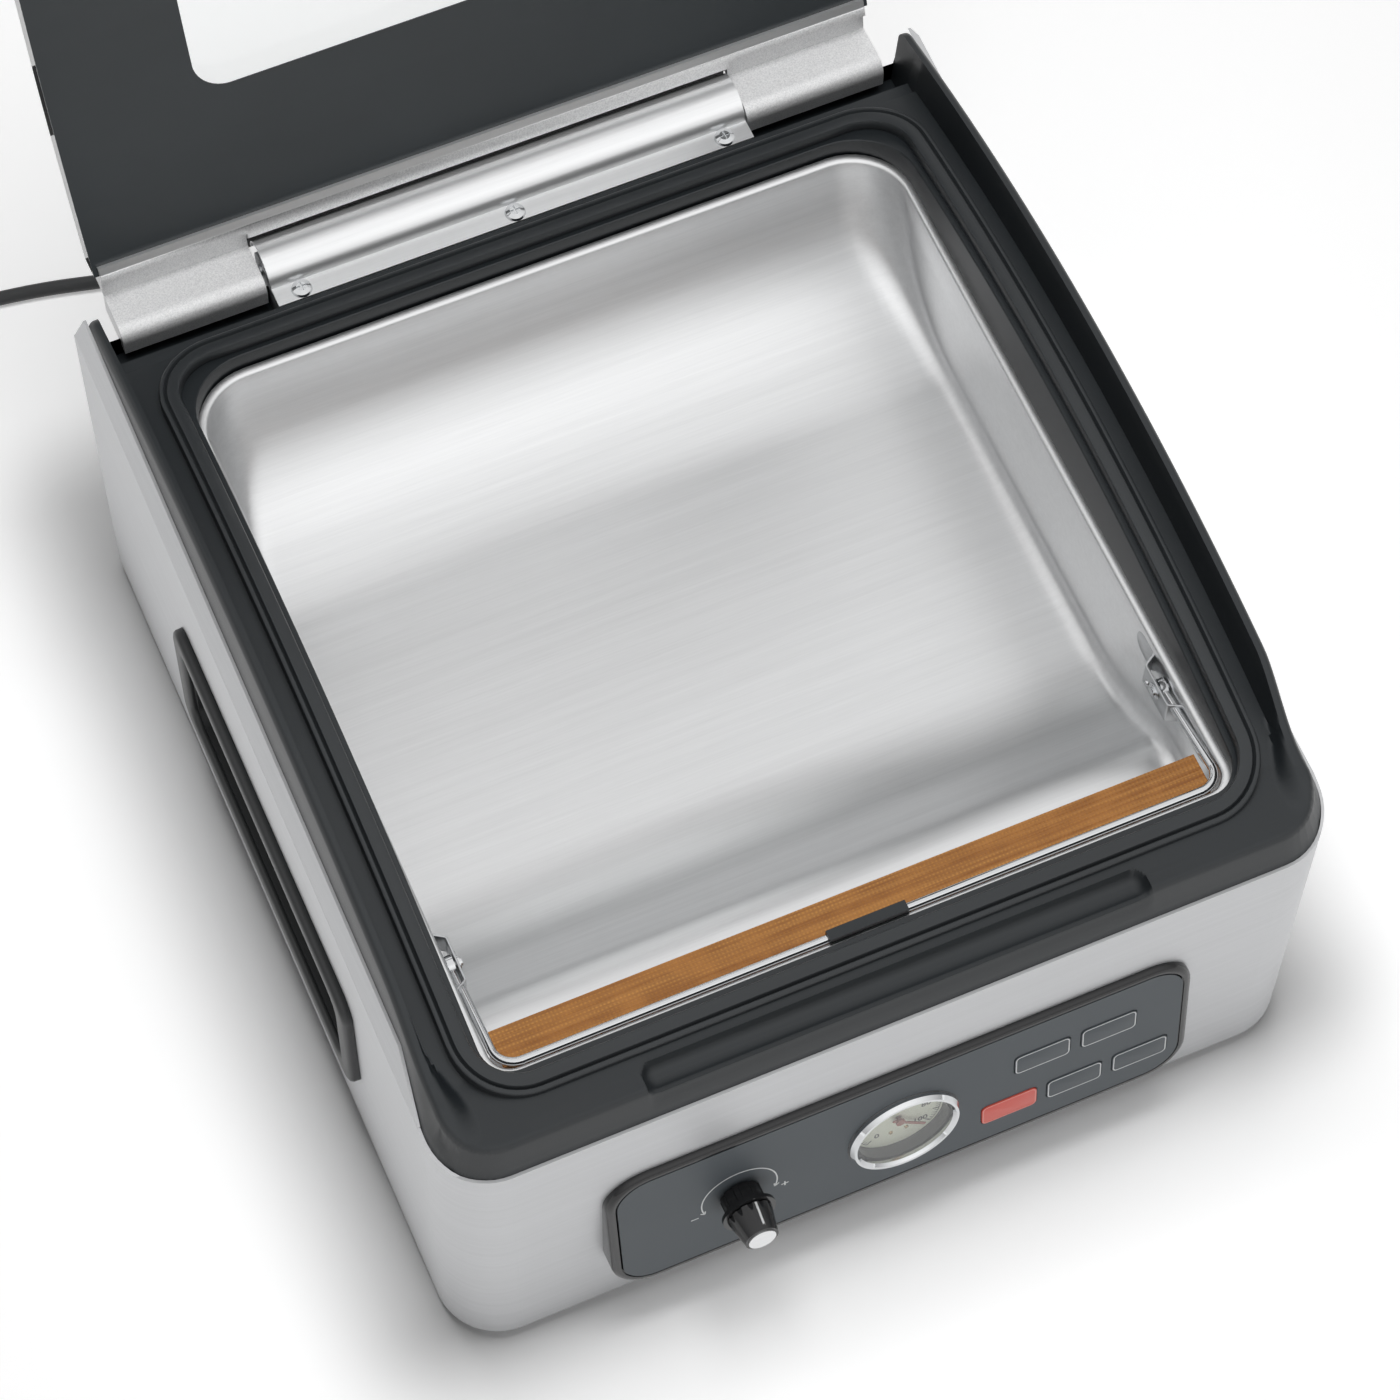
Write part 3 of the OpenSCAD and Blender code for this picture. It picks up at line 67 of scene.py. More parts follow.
def makeCamera(c):
    data = bpy.data.cameras.new("camera")
    data.lens, data.sensor_width = c["lens"], c["sensor"]
    data.clip_start, data.clip_end = c["clip"]
    obj = addObject("camera", data)
    turn = Matrix((c["right"], c["up"], c["back"])).transposed().to_4x4()
    obj.matrix_world = Matrix.Translation(c["place"]) @ turn
    bpy.context.scene.camera = obj


makeCamera(camera)
print("camera set")


# node helpers: most make one node, and the short ones return its output
def newMaterial(name, **plain):
    mat = bpy.data.materials.new(name)
    mat.use_nodes = True
    tree = mat.node_tree
    shader = tree.nodes["Principled BSDF"]
    for socket, value in plain.items():
        shader.inputs[socket.replace("_", " ")].default_value = value
    return mat, tree, shader


def fill(tree, socket, value):
    if isinstance(value, bpy.types.NodeSocket):
        tree.links.new(value, socket)
    else:
        socket.default_value = value


def addNode(tree, kind, links=None, **settings):
    node = tree.nodes.new(kind)
    for key, value in settings.items():
        setattr(node, key, value)
    for socket, value in (links or {}).items():
        fill(tree, node.inputs[socket], value)
    return node


def newGroup(name, ins, outs):
    tree = bpy.data.node_groups.new(name, "ShaderNodeTree")
    for label, kind, value in ins:
        s = tree.interface.new_socket(label, in_out="INPUT", socket_type=kind)
        s.default_value = value
    for label in outs:
        tree.interface.new_socket(label, in_out="OUTPUT", socket_type="NodeSocketFloat")
    return tree, tree.nodes.new("NodeGroupInput").outputs, tree.nodes.new("NodeGroupOutput").inputs


def useGroup(tree, group, **values):
    node = tree.nodes.new("ShaderNodeGroup")
    node.node_tree = group
    for key, value in values.items():
        node.inputs[key].default_value = value
    return node.outputs


def objectPlace(tree):
    return tree.nodes.new("ShaderNodeTexCoord").outputs["Object"]


def noise(tree, vector, scale, detail, roughness=0.5):
    return addNode(tree, "ShaderNodeTexNoise", {"Vector": vector, "Scale": scale, "Detail": detail,
                                                "Roughness": roughness}).outputs[0]


def calc(tree, operation, *values):
    return addNode(tree, "ShaderNodeMath", dict(enumerate(values)), operation=operation).outputs[0]


def spread(tree, value, low=0.0, high=1.0, start=0.0, end=1.0, **settings):
    return addNode(tree, "ShaderNodeMapRange", {"Value": value, "From Min": start, "From Max": end,
                                                "To Min": low, "To Max": high}, **settings).outputs["Result"]


def blendColor(tree, factor, a, b):
    node = addNode(tree, "ShaderNodeMix", data_type="RGBA")
    for index, value in ((0, factor), (6, a), (7, b)):
        fill(tree, node.inputs[index], value)
    return node.outputs[2]


def shadeBy(tree, value, base, low, high):
    # base colour scaled from low to high by the varying value
    pair = [(*(min(1, c * share) for c in base), 1) for share in (low, high)]
    return blendColor(tree, value, *pair)


def bump(tree, shader, height, strength, distance):
    lift = addNode(tree, "ShaderNodeBump", {"Height": height, "Strength": strength, "Distance": distance})
    tree.links.new(lift.outputs[0], shader.inputs["Normal"])


def gray(v):
    return (v, v, v, 1)


# effects that several materials share
def makeBrushGroup():
    tree, given, out = newGroup(
        "brushLines", [("Grain", "NodeSocketVector", (30, 900, 900)), ("Patch", "NodeSocketFloat", 9.0)],
        ("Tone", "Height", "Patches"))
    coord = objectPlace(tree)
    scaled = addNode(tree, "ShaderNodeVectorMath", {0: coord, 1: given["Grain"]}, operation="MULTIPLY").outputs[0]
    fine = noise(tree, scaled, 1.0, 3.0, 0.62)
    coarse = noise(tree, scaled, 0.22, 2.0)
    tone = calc(tree, "MULTIPLY", calc(tree, "ADD", fine, coarse), 0.5)
    for label, value in (("Tone", tone), ("Height", fine), ("Patches", noise(tree, coord, given["Patch"], 3.0))):
        tree.links.new(value, out[label])
    return tree


def makeSkinGroup():
    tree, given, out = newGroup(
        "mouldedSkin", [("Grit", "NodeSocketFloat", 2600.0), ("Cloud", "NodeSocketFloat", 14.0)],
        ("Height", "Clouds", "Specks"))
    coord = objectPlace(tree)
    dust = addNode(tree, "ShaderNodeTexVoronoi", {"Vector": coord, "Scale": 420.0}).outputs["Distance"]
    for label, value in (("Height", noise(tree, coord, given["Grit"], 2.0)),
                         ("Clouds", noise(tree, coord, given["Cloud"], 4.0, 0.6)),
                         ("Specks", spread(tree, dust, start=0.05, end=0.0))):
        tree.links.new(value, out[label])
    return tree


def makeHazeGroup():
    tree, given, out = newGroup("sheetHaze", [("Size", "NodeSocketFloat", 22.0)], ["Haze"])
    tree.links.new(noise(tree, objectPlace(tree), given["Size"], 5.0), out["Haze"])
    return tree


brushLines = makeBrushGroup()
mouldedSkin = makeSkinGroup()
sheetHaze = makeHazeGroup()


def brushedMetal(name, base, grain, rough, contrast=0.06, height=0.06, spots=0.03, metal=1.0):
    mat, tree, shader = newMaterial(name, Metallic=metal)
    brush = useGroup(tree, brushLines, Grain=grain, Patch=9.0)
    tone = spread(tree, brush["Tone"], start=0.3, end=0.7)
    color = shadeBy(tree, tone, base, 1 - contrast, 1 + contrast)
    tree.links.new(color, shader.inputs["Base Color"])
    patches = spread(tree, brush["Patches"], rough - spots, rough + spots)
    shift = calc(tree, "SUBTRACT", calc(tree, "MULTIPLY_ADD", brush["Tone"], 0.08, patches), 0.04)
    tree.links.new(shift, shader.inputs["Roughness"])
    bump(tree, shader, brush["Height"], height, 0.0004)
    return mat


def moulded(name, base, rough, height=0.1, vary=0.12, grit=2600.0, cloud=14.0):
    mat, tree, shader = newMaterial(name)
    skin = useGroup(tree, mouldedSkin, Grit=grit, Cloud=cloud)
    tone = spread(tree, skin["Clouds"], start=0.3, end=0.7)
    color = shadeBy(tree, tone, base, 1 - vary, 1 + vary)
    pale = (*(min(1, c + 0.02) for c in base), 1)
    color = blendColor(tree, calc(tree, "MULTIPLY", skin["Specks"], 0.5), color, pale)
    tree.links.new(color, shader.inputs["Base Color"])
    tree.links.new(spread(tree, skin["Clouds"], rough - 0.05, rough + 0.05), shader.inputs["Roughness"])
    bump(tree, shader, skin["Height"], height, 0.0003)
    return mat


def tapeWeave(c):
    # a plain weave with pressed streaks along the bar
    mat, tree, shader = newMaterial("releaseTape", Sheen_Weight=0.1)
    coord = objectPlace(tree)
    waves = [addNode(tree, "ShaderNodeTexWave", {"Vector": coord, "Scale": c["pitch"], "Distortion": 1.6,
                                                 "Detail": 1.5, "Detail Scale": 2.0},
                     bands_direction=direction).outputs["Fac"] for direction in "XYZ"]
    cloth = calc(tree, "MULTIPLY", waves[0], calc(tree, "MAXIMUM", waves[1], waves[2]))
    stretched = addNode(tree, "ShaderNodeMapping", {"Vector": coord, "Scale": c["stretch"]}).outputs[0]
    lines = spread(tree, noise(tree, stretched, 1.0, 5.0, 0.65), start=0.36, end=0.64)
    patch = spread(tree, noise(tree, coord, 60.0, 5.0), 0.0, 0.6, 0.45, 0.75)
    tone = blendColor(tree, lines, c["dark"], c["light"])
    tone = blendColor(tree, 0.55, tone, blendColor(tree, cloth, c["deep"], tone))
    tree.links.new(blendColor(tree, patch, tone, c["worn"]), shader.inputs["Base Color"])
    tree.links.new(spread(tree, cloth, c["rough"] - 0.1, c["rough"] + 0.1), shader.inputs["Roughness"])
    bump(tree, shader, cloth, 0.6, 0.0004)
    return mat


def blasted(name, base, rough, grit, height, metal):
    mat, tree, shader = newMaterial(name, Metallic=metal)
    grain = noise(tree, objectPlace(tree), grit, 4.0, 0.75)
    tone = spread(tree, grain, start=0.35, end=0.65)
    tree.links.new(shadeBy(tree, tone, base, 0.8, 1.15), shader.inputs["Base Color"])
    tree.links.new(spread(tree, grain, rough - 0.1, rough + 0.1), shader.inputs["Roughness"])
    bump(tree, shader, grain, height, 0.0003)
    return mat


def clearSheet(name, tint, rough, size, alpha=1.0):
    mat, tree, shader = newMaterial(name, Transmission_Weight=1.0 if alpha == 1 else 0.0, IOR=1.49,
                                    Base_Color=tint, Alpha=alpha)
    sheet = useGroup(tree, sheetHaze, Size=size)
    tree.links.new(spread(tree, sheet["Haze"], rough * 0.4, rough), shader.inputs["Roughness"])
    return mat


steelGrain = (26, 26, 1500)
panGrain = (30, 1400, 1400)
mats = {
    "wrap": brushedMetal("wrapSteel", (0.6, 0.605, 0.615), steelGrain, 0.5, 0.045, 0.05, metal=0.8),
    "pan": brushedMetal("panSteel", (0.74, 0.745, 0.75), panGrain, 0.34, 0.05, 0.08),
    "plate": brushedMetal("plateSteel", (0.5, 0.51, 0.52), (400, 20, 400), 0.42, 0.06, 0.05),
    "alloy": brushedMetal("milledAlloy", (0.74, 0.745, 0.75), (18, 1100, 1100), 0.3, 0.07, 0.08),
    "chrome": brushedMetal("brightChrome", (0.62, 0.63, 0.64), (60, 500, 500), 0.09, 0.02, 0.0, spots=0.02),
    "blast": blasted("blastedAlloy", (0.9, 0.905, 0.915), 0.4, 1500.0, 0.5, 0.35),
    "cover": brushedMetal("coverAlloy", (0.84, 0.845, 0.85), (18, 1100, 1100), 0.3, 0.05, 0.06, metal=0.75),
    "deck": moulded("deckPlastic", (0.013, 0.0155, 0.0175), 0.42, 0.12, 0.08),
    "rubber": moulded("gasketRubber", (0.02, 0.0225, 0.0245), 0.44, 0.08, 0.08),
    "black": moulded("glossBlack", (0.012, 0.012, 0.013), 0.2, 0.02, 0.1),
    "matt": moulded("mattBlack", (0.02, 0.021, 0.022), 0.42, 0.1, 0.1),
    "film": moulded("panelFilm", (0.07, 0.081, 0.09), 0.56, 0.05, 0.03),
    "red": moulded("stopRed", (0.72, 0.105, 0.075), 0.36, 0.05, 0.04),
    "ink": moulded("borderInk", (0.043, 0.049, 0.053), 0.3, 0.02, 0.05),
    "print": moulded("whitePrint", (0.72, 0.73, 0.73), 0.5, 0.03, 0.03),
    "silicone": moulded("redSilicone", (0.28, 0.05, 0.035), 0.55, 0.1, 0.1),
    "iron": moulded("paintedIron", (0.09, 0.09, 0.1), 0.55, 0.3, 0.15, 900.0),
    "board": moulded("boardLacquer", (0.02, 0.16, 0.06), 0.3, 0.05, 0.2, 700.0, 90.0),
    "needle": moulded("needleRed", (0.3, 0.07, 0.04), 0.4, 0.02, 0.05),
    "copper": brushedMetal("copperWire", (0.65, 0.36, 0.2), (900, 900, 900), 0.3, 0.1, 0.1),
    "tape": tapeWeave({"pitch": 190.0, "rough": 0.5, "stretch": (14, 700, 700), "dark": (0.3, 0.115, 0.028, 1),
                       "light": (0.6, 0.29, 0.085, 1), "deep": (0.2, 0.075, 0.018, 1),
                       "worn": (0.5, 0.22, 0.06, 1)}),
    "clear": clearSheet("clearAcrylic", (0.97, 0.98, 0.98, 1), 0.03, 22.0),
    "lens": clearSheet("gaugeLens", (0.98, 0.99, 0.99, 1), 0.02, 22.0, 0.14),
    "redLine": moulded("redOutline", (0.82, 0.3, 0.26), 0.45, 0.03, 0.04),
    "scaleInk": moulded("scaleInk", (0.03, 0.03, 0.035), 0.5, 0.02, 0.1),
    "copperPin": brushedMetal("brassPin", (0.62, 0.47, 0.28), (900, 900, 900), 0.25, 0.1, 0.05),
    "stamped": brushedMetal("stampedSteel", (0.5, 0.51, 0.52), (60, 500, 500), 0.3, 0.06, 0.1),
    "dial": moulded("dialPaint", (0.76, 0.79, 0.66), 0.5, 0.02, 0.04),
}
print("materials ready:", len(mats))

coats = {
    "steel_wrap": "wrap", "bottom_plate": "plate", "back_panel": "plate", "feet": "rubber", "deck": "deck",
    "seal_ring": "rubber", "chamber_pan": "pan", "seal_bar": "alloy", "heating_band": "alloy",
    "release_tape": "tape", "lift_posts": "chrome", "lift_sleeves": "alloy", "bail_wire": "chrome",
    "bail_tab": "deck", "bail_brackets": "alloy", "bail_rivets": "chrome", "panel_housing": "deck",
    "panel_overlay": "film", "key_upper_left": "film", "key_upper_right": "film", "key_stop": "red",
    "key_lower_mid": "film", "key_lower_right": "film", "key_board": "board", "gauge_case": "matt",
    "gauge_bezel": "chrome", "gauge_lens": "lens", "gauge_dial": "dial", "gauge_needle": "needle",
    "knob_rear": "black", "knob_front": "black", "knob_cap": "alloy", "knob_bushing": "alloy",
    "handle_left": "black", "handle_right": "black", "lid_panel": "clear", "lid_border": "ink",
    "press_holder": "alloy", "press_strip": "silicone", "lid_rail": "cover", "lid_knuckles": "blast",
    "hinge_bracket": "plate", "hinge_pin": "chrome", "hinge_springs": "plate", "hinge_cover": "cover",
    "hinge_screws": "chrome", "pump_motor": "iron", "pump_fan": "matt", "pump_head": "alloy",
    "transformer": "copper", "control_board": "board", "valves": "plate", "hoses": "rubber",
    "power_socket": "matt", "power_rocker": "red", "strain_relief": "matt", "cord": "matt",
    "cord_coil": "matt", "plug": "matt",
}
for name, obj in nodes.items():
    obj.data.materials.clear()
    obj.data.materials.append(mats[coats[name]])
print("frame painted")


def finishPiece(name, bm, place, body, mat, stands=(), sharp=30, turnOut=True, weld=0.002):
    bmesh.ops.remove_doubles(bm, verts=bm.verts, dist=weld)
    if turnOut:
        bmesh.ops.recalc_face_normals(bm, faces=bm.faces)
    bm.transform(place)
    mesh = bpy.data.meshes.new(name)
    bm.to_mesh(mesh)
    bm.free()
    mesh.shade_smooth()
    mesh.set_sharp_from_angle(angle=math.radians(sharp))
    obj = addObject(name, mesh)
    mesh.materials.append(mats[mat])
    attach(obj, body)
    if stands:
        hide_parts(*stands)
    return obj


def steps(start, end, gap):
    count = max(1, round((end - start) / gap))
    return [start + (end - start) * i / count for i in range(count + 1)]


def ease(t):
    t = min(1, max(0, t))
    return t * t * (3 - 2 * t)


def thicken(obj, sheet, offset):
    wall = obj.modifiers.new("wall", "SOLIDIFY")
    wall.thickness, wall.offset = sheet / 1000, offset


def only(kind, geom):
    return [g for g in geom if isinstance(g, kind)]


def everything(bm):
    return list(bm.verts) + list(bm.edges) + list(bm.faces)


def polar(radius, degrees):
    a = math.radians(degrees)
    return Vector((math.cos(a), math.sin(a), 0)) * radius


cordSet = {"length": 1.8, "diameter": 0.0066, "exit": (-100, 427, 40), "floor": -4.5, "rise": 6.7, "gap": 6.8,
           "coil": (-265, 591), "plugAt": (32, 46, 2.1), "parts": 16, "turns": (3, 2.5), "cross": 0.19,
           "lastTurn": (2, 5), "last": (14, 1.6, 0.5), "past": 2, "radii": (26.0, 46.0), "tries": 24,
           "route": [(-100, 427, 40), (-100, 447, 38), (-100, 469, 28), (-101, 491, 12), (-105, 509, 1),
                     (-114, 524, -3.5), (-130, 534, -4.5), (-149, 539, -4.5), (-170, 544, -4.5),
                     (-200, 549, -4.5), (-232, 555, -4.5)]}


def coilPoints(c, inner):
    # up three turns inside, across the top, down two and a half outside, then off to the plug
    points, parts = [], c["parts"]
    up, down = c["turns"]
    for i in range(1, int(up * parts) + 1):
        t = i / parts
        points.append((inner, math.radians(-90 - 360 * t), c["floor"] + c["rise"] * t))
    top = c["floor"] + up * c["rise"]
    cross, pace = c["cross"], c["rise"] * down / (down - c["cross"])
    late, drop = c["lastTurn"]
    for i in range(1, int(down * parts) + 1):
        t = i / parts
        radius = inner + c["gap"] * ease(t / cross)
        z = top - max(0, t - cross) * pace if t < late else top - (late - cross) * pace - (t - late) * drop
        points.append((radius, math.radians(-90 - 360 * (up + t)), max(z, c["floor"])))
    x0, y0 = c["coil"]
    return [(x0 + r * math.cos(a), y0 + r * math.sin(a), z) for r, a, z in points]


def makeCord(c):
    x0, y0 = c["coil"]
    curve = bpy.data.curves.new("power_cord", "CURVE")
    curve.dimensions = "3D"
    curve.resolution_u = 5
    obj = addObject("power_cord", curve)
    low, high = c["radii"]
    dx, dy, z = c["last"]
    # the inner radius of the coil is searched until the whole cord has its length
    for _ in range(c["tries"]):
        inner = (low + high) / 2
        start = [(x0, y0 - inner, c["floor"])]
        end = [(x0 + dx, y0 + inner + c["gap"] + dy, z),
               (x0 + c["plugAt"][0] + c["past"], y0 + c["plugAt"][1], c["plugAt"][2])]
        points = [toRow @ Vector(p) for p in c["route"] + start + coilPoints(c, inner) + end]
        curve.splines.clear()
        spline = curve.splines.new("BEZIER")
        spline.bezier_points.add(len(points) - 1)
        for knot, p in zip(spline.bezier_points, points):
            knot.co, knot.handle_left_type, knot.handle_right_type = p, "AUTO", "AUTO"
        bpy.context.view_layer.update()
        length = spline.calc_length()
        low, high = (inner, high) if length < c["length"] else (low, inner)
    curve.bevel_depth = c["diameter"] / 2
    curve.bevel_resolution = 4
    curve.use_fill_caps = True
    curve.materials.append(mats["matt"])
    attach(obj, "case")
    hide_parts("cord", "cord_coil")
    print("cord laid, inner turn radius", round(inner, 2), "length", round(length, 4))


makeCord(cordSet)


def outlineFace(bm, half, y0, y1, rear, front, z=0.0, segments=9):
    # one rectangle with its corners bevelled round
    before = set(bm.faces)
    corners = bmesh.ops.create_grid(bm, x_segments=1, y_segments=1, size=1)["verts"]
    for v in corners:
        v.co = Vector((math.copysign(half, v.co.x), y1 if v.co.y > 0 else y0, z))
    back = [v for v in corners if v.co.y > (y0 + y1) / 2]
    fore = [v for v in corners if v.co.y < (y0 + y1) / 2]
    for verts, radius in ((back, rear), (fore, front)):
        if radius > 0:
            bmesh.ops.bevel(bm, geom=verts, offset=radius, offset_type="OFFSET", segments=segments, profile=0.5,
                            affect="VERTICES", material=-1)
    return [f for f in bm.faces if f not in before][0]


def outlineLoop(bm, *level, **more):
    face = outlineFace(bm, *level, **more)
    loop = list(face.edges)
    bmesh.ops.delete(bm, geom=[face], context="FACES_ONLY")
    return loop


def loftOutlines(bm, levels, segments=9, closed=False):
    loops = [outlineLoop(bm, *level, segments=segments) for level in levels]
    for a, b in zip(loops, loops[1:] + ([loops[0]] if closed else [])):
        bmesh.ops.bridge_loops(bm, edges=a + b)
    return loops


def slices(bm, positions, axis="y"):
    normal = (0, 1, 0) if axis == "y" else (1, 0, 0)
    for p in positions:
        place = (0, p, 0) if axis == "y" else (p, 0, 0)
        bmesh.ops.bisect_plane(bm, geom=everything(bm), dist=1e-4, plane_co=place, plane_no=normal)


arch = {"top": 208, "radius": 670.04, "middle": 205}


def archZ(y, radius=None):
    drop = (radius or arch["radius"]) ** 2 - (y - arch["middle"]) ** 2
    return arch["top"] - arch["radius"] + math.sqrt(drop)


chamber = {"half": 153.9, "front": 35, "wall": 173.2, "sheet": 1.0, "middle": 200,
           "path": [(35, 173.2, 0), (35, 132, 13), (79, 132, 34), (118, 106, 88), (277.6, 106, 0)],
           "sweep": 82, "sideRadius": 8.5, "rearRadius": 25, "frontRadius": 10,
           "under": 0.35, "parts": {"bend": 8, "floor": 6, "sweep": 24}, "widen": 70, "fade": (30, 10),
           "lip": [(0.25, 0.55), (0.85, 0.8), (2.3, 0.8), (2.4, 0.3)],
           "steps": [0, 0.12, 0.5, 1.1, 2, 3.1, 4.4, 6, 8.5, 11, 14, 17.5, 21, 25, 45, 80]}


def chamberLine(c):
    # the side line from the front rim, over the shelf and floor, up the sweep to the back rim
    pts = [Vector(p[:2]) for p in c["path"]]
    line = [pts[0], pts[0].lerp(pts[1], c["under"])]
    bend, flat, rise = (c["parts"][k] for k in ("bend", "floor", "sweep"))
    for i in range(1, len(pts) - 1):
        a, b, d = pts[i - 1], pts[i], pts[i + 1]
        u, v = (a - b).normalized(), (d - b).normalized()
        back = c["path"][i][2] / math.tan(u.angle(v) / 2)
        p, q = b + u * back, b + v * back
        line += [p * (1 - t) ** 2 + b * 2 * t * (1 - t) + q * t * t for t in [k / bend for k in range(bend + 1)]]
    start = line[-1]
    line += [start.lerp(pts[-1], k / flat) for k in range(1, flat + 1)]
    y0, z0 = pts[-1]
    last = math.acos((z0 + c["sweep"] - c["wall"]) / c["sweep"])
    for k in range(1, rise + 1):
        a = last * k / rise
        line.append(Vector((y0 + c["sweep"] * math.sin(a), z0 + c["sweep"] * (1 - math.cos(a)))))
    return line


def makeChamber(c):
    line = chamberLine(c)
    count = len(line)
    aims, radii = [], []
    floorEnd, shelf = c["path"][-1][0], c["path"][1][1]
    for i, p in enumerate(line):
        along = (line[min(i + 1, count - 1)] - line[max(i - 1, 0)]).normalized()
        aim = Vector((-along.y, along.x))
        radius = c["sideRadius"]
        if p.x > floorEnd:
            aim.y *= min(1, (c["wall"] - p.y) / c["fade"][0])
            radius += (c["rearRadius"] - radius) * min(1, (p.x - floorEnd) / c["widen"]) ** 2
        elif p.y > shelf:
            aim = Vector((1, 0)).lerp(aim, min(1, (c["wall"] - p.y) / c["fade"][1])).normalized()
            radius += (c["frontRadius"] - radius) * (p.y - shelf) / (c["wall"] - shelf)
        aims.append(aim)
        radii.append(radius)
    columns = [(d - c["half"], d) for d in c["steps"]] + [(c["half"] - d, d) for d in reversed(c["steps"])]
    bm = bmesh.new()
    grid = bmesh.ops.create_grid(bm, x_segments=len(columns) - 1, y_segments=count - 1, size=1)["verts"]
    cell = {}
    for v in grid:
        i = round((v.co.x + 1) / 2 * (len(columns) - 1))
        j = round((v.co.y + 1) / 2 * (count - 1))
        cell[i, j] = v
    for (i, j), v in cell.items():
        x, d = columns[i]
        r = radii[j]
        move = r - math.sqrt(max(0, r * r - (r - d) ** 2)) if d < r else 0
        p = line[j] + aims[j] * move
        v.co = Vector((x, p.x, min(p.y, c["wall"])))
    for i in (0, len(columns) - 1):
        bm.faces.new([cell[i, j] for j in range(count)])
    rim = [e for e in bm.edges if e.is_boundary]
    base = {v: v.co.copy() for e in rim for v in e.verts}
    away = {}
    for v in base:
        r = c["rearRadius"] if v.co.y > c["middle"] else c["frontRadius"]
        cx = max(r - c["half"], min(c["half"] - r, v.co.x))
        cy = max(c["front"] + r, min(line[-1].x - r, v.co.y))
        away[v] = Vector((v.co.x - cx, v.co.y - cy, 0)).normalized()
    loop, origin = rim, {v: v for v in base}
    for out, rise in c["lip"]:
        made = bmesh.ops.extrude_edge_only(bm, edges=loop)["geom"]
        parents = {}
        for v in only(bmesh.types.BMVert, made):
            near = [e.other_vert(v) for e in v.link_edges if e.other_vert(v) in origin]
            parents[v] = origin[near[0]]
        for v, root in parents.items():
            v.co = base[root] + away[root] * out + Vector((0, 0, rise))
        origin = parents
        loop = only(bmesh.types.BMEdge, made)
    obj = finishPiece("chamber_shell", bm, toRow, "case", "pan", ["chamber_pan"], 55)
    thicken(obj, c["sheet"], 1)


makeChamber(chamber)
print("chamber pressed")

gasket = {"half": 168, "front": 20, "rear": 373.5, "corner": 28,
          "section": [(0, -6), (0, -1.1), (0.35, -0.3), (1.0, 0), (1.9, -0.1), (2.25, -0.8), (2.7, -1.5),
                      (3.15, -0.8), (3.5, -0.1), (4.2, 0), (7.2, 0), (8.2, -0.35), (8.7, -1.2), (8.7, -6)],
          "rows": (50, 344, 7), "seat": 664.04, "nose": 180}


def makeGasket(c):
    bm = bmesh.new()
    levels = [(c["half"] - d, c["front"] + d, c["rear"] - d, c["corner"] - d, c["corner"] - d, h)
              for d, h in c["section"]]
    loftOutlines(bm, levels, 12, closed=True)
    slices(bm, steps(*c["rows"]))
    for v in bm.verts:
        seat = max(c["nose"], archZ(v.co.y, c["seat"]))
        v.co.z = max(seat, archZ(v.co.y) + v.co.z)
    finishPiece("gasket_ring", bm, toRow, "case", "rubber", ["seal_ring"], 40)


makeGasket(gasket)
print("gasket laid")

# deck with its rails and finger groove
deck = {"nose": 180, "seat": 664.04, "rail": 14, "ledge": 176.5, "ledgeY": 374, "shelf": 160.3, "shelfY": 381.3,
        "railEnd": (388, 396),
        "levels": [(186.2, 1.3, 396, 0, 24.7, 160.2), (186.2, 1.3, 396, 0, 24.7, 161.9),
                   (184.6, 2.5, 396, 0, 23.6, 167.0), (183.1, 3.5, 396, 0, 22.4, 171.6),
                   (181.5, 4.6, 396, 0, 21.0, 176.4), (181.2, 4.9, 396, 0, 20.7, 177.6),
                   (180.3, 5.8, 396, 0, 19.9, 179.2), (179.5, 6.6, 396, 0, 19.3, 179.85),
                   (179.0, 7.1, 396, 0, 18.9, 180)],
        "hole": [(157.0, 31.9, 362.7, 28.1, 13.1, 180), (156.6, 32.3, 362.3, 27.7, 12.7, 179.6),
                 (156.5, 32.4, 362.2, 27.6, 12.6, 179.0), (156.5, 32.4, 362.2, 27.6, 12.6, 172.9)],
        "groove": {"half": 98.5, "y": 10.4, "radius": 5.6, "lip": 3.0, "depth": 3.4, "front": 5.2,
                   "bead": 0.35, "beadAt": 1.07, "beadWidth": 0.1, "end": 17, "fade": (168, 8)},
        "railIn": (175.5, 177.3), "lift": (10, 27, 6), "rise": (29, 71), "railDrop": 9,
        "corner": {"from": 22, "run": 30, "lean": 8.5, "widen": 7.5},
        "rows": [(3.4, 16.2, 0.8), (18, 76, 2.5), (84, 372, 9)],
        "rowsAt": [373.95, 374.05, 381.25, 381.35, 388, 390, 392, 393.5, 394.8, 395.5],
        "columns": (166.5, 181, 1.0), "columnsAt": [175.5, 177.3, 178.0], "grooveColumns": (-3, 0.75, 14),
        "opening": (158, 30, 365), "lining": (174, 179.9), "edge": 176, "side": (180, 8.7, 30, 4),
        "skirt": (181.5, 4.6), "under": 3.6,
        "steel": {"y": (8.7, 30), "low": 161.8, "rise": 6.5, "reach": 186.0, "creased": 186.1,
                  "crease": 168.3, "climb": 16 / 367, "cut": (168.7, 0.3217), "band": 8.5, "lean": 4.6}}


def railZ(c, y):
    level, end = c["railEnd"]
    if y > level:
        drop = (y - level) / (end - level)
        return railZ(c, level) - c["railDrop"] * (1 - math.sqrt(max(0, 1 - drop * drop)))
    low = c["nose"] + c["lift"][2] * ease((y - c["lift"][0]) / (c["lift"][1] - c["lift"][0]))
    high = archZ(max(y, c["rise"][0]), arch["radius"] + c["rail"])
    return low + (high - low) * ease((y - c["rise"][0]) / (c["rise"][1] - c["rise"][0]))


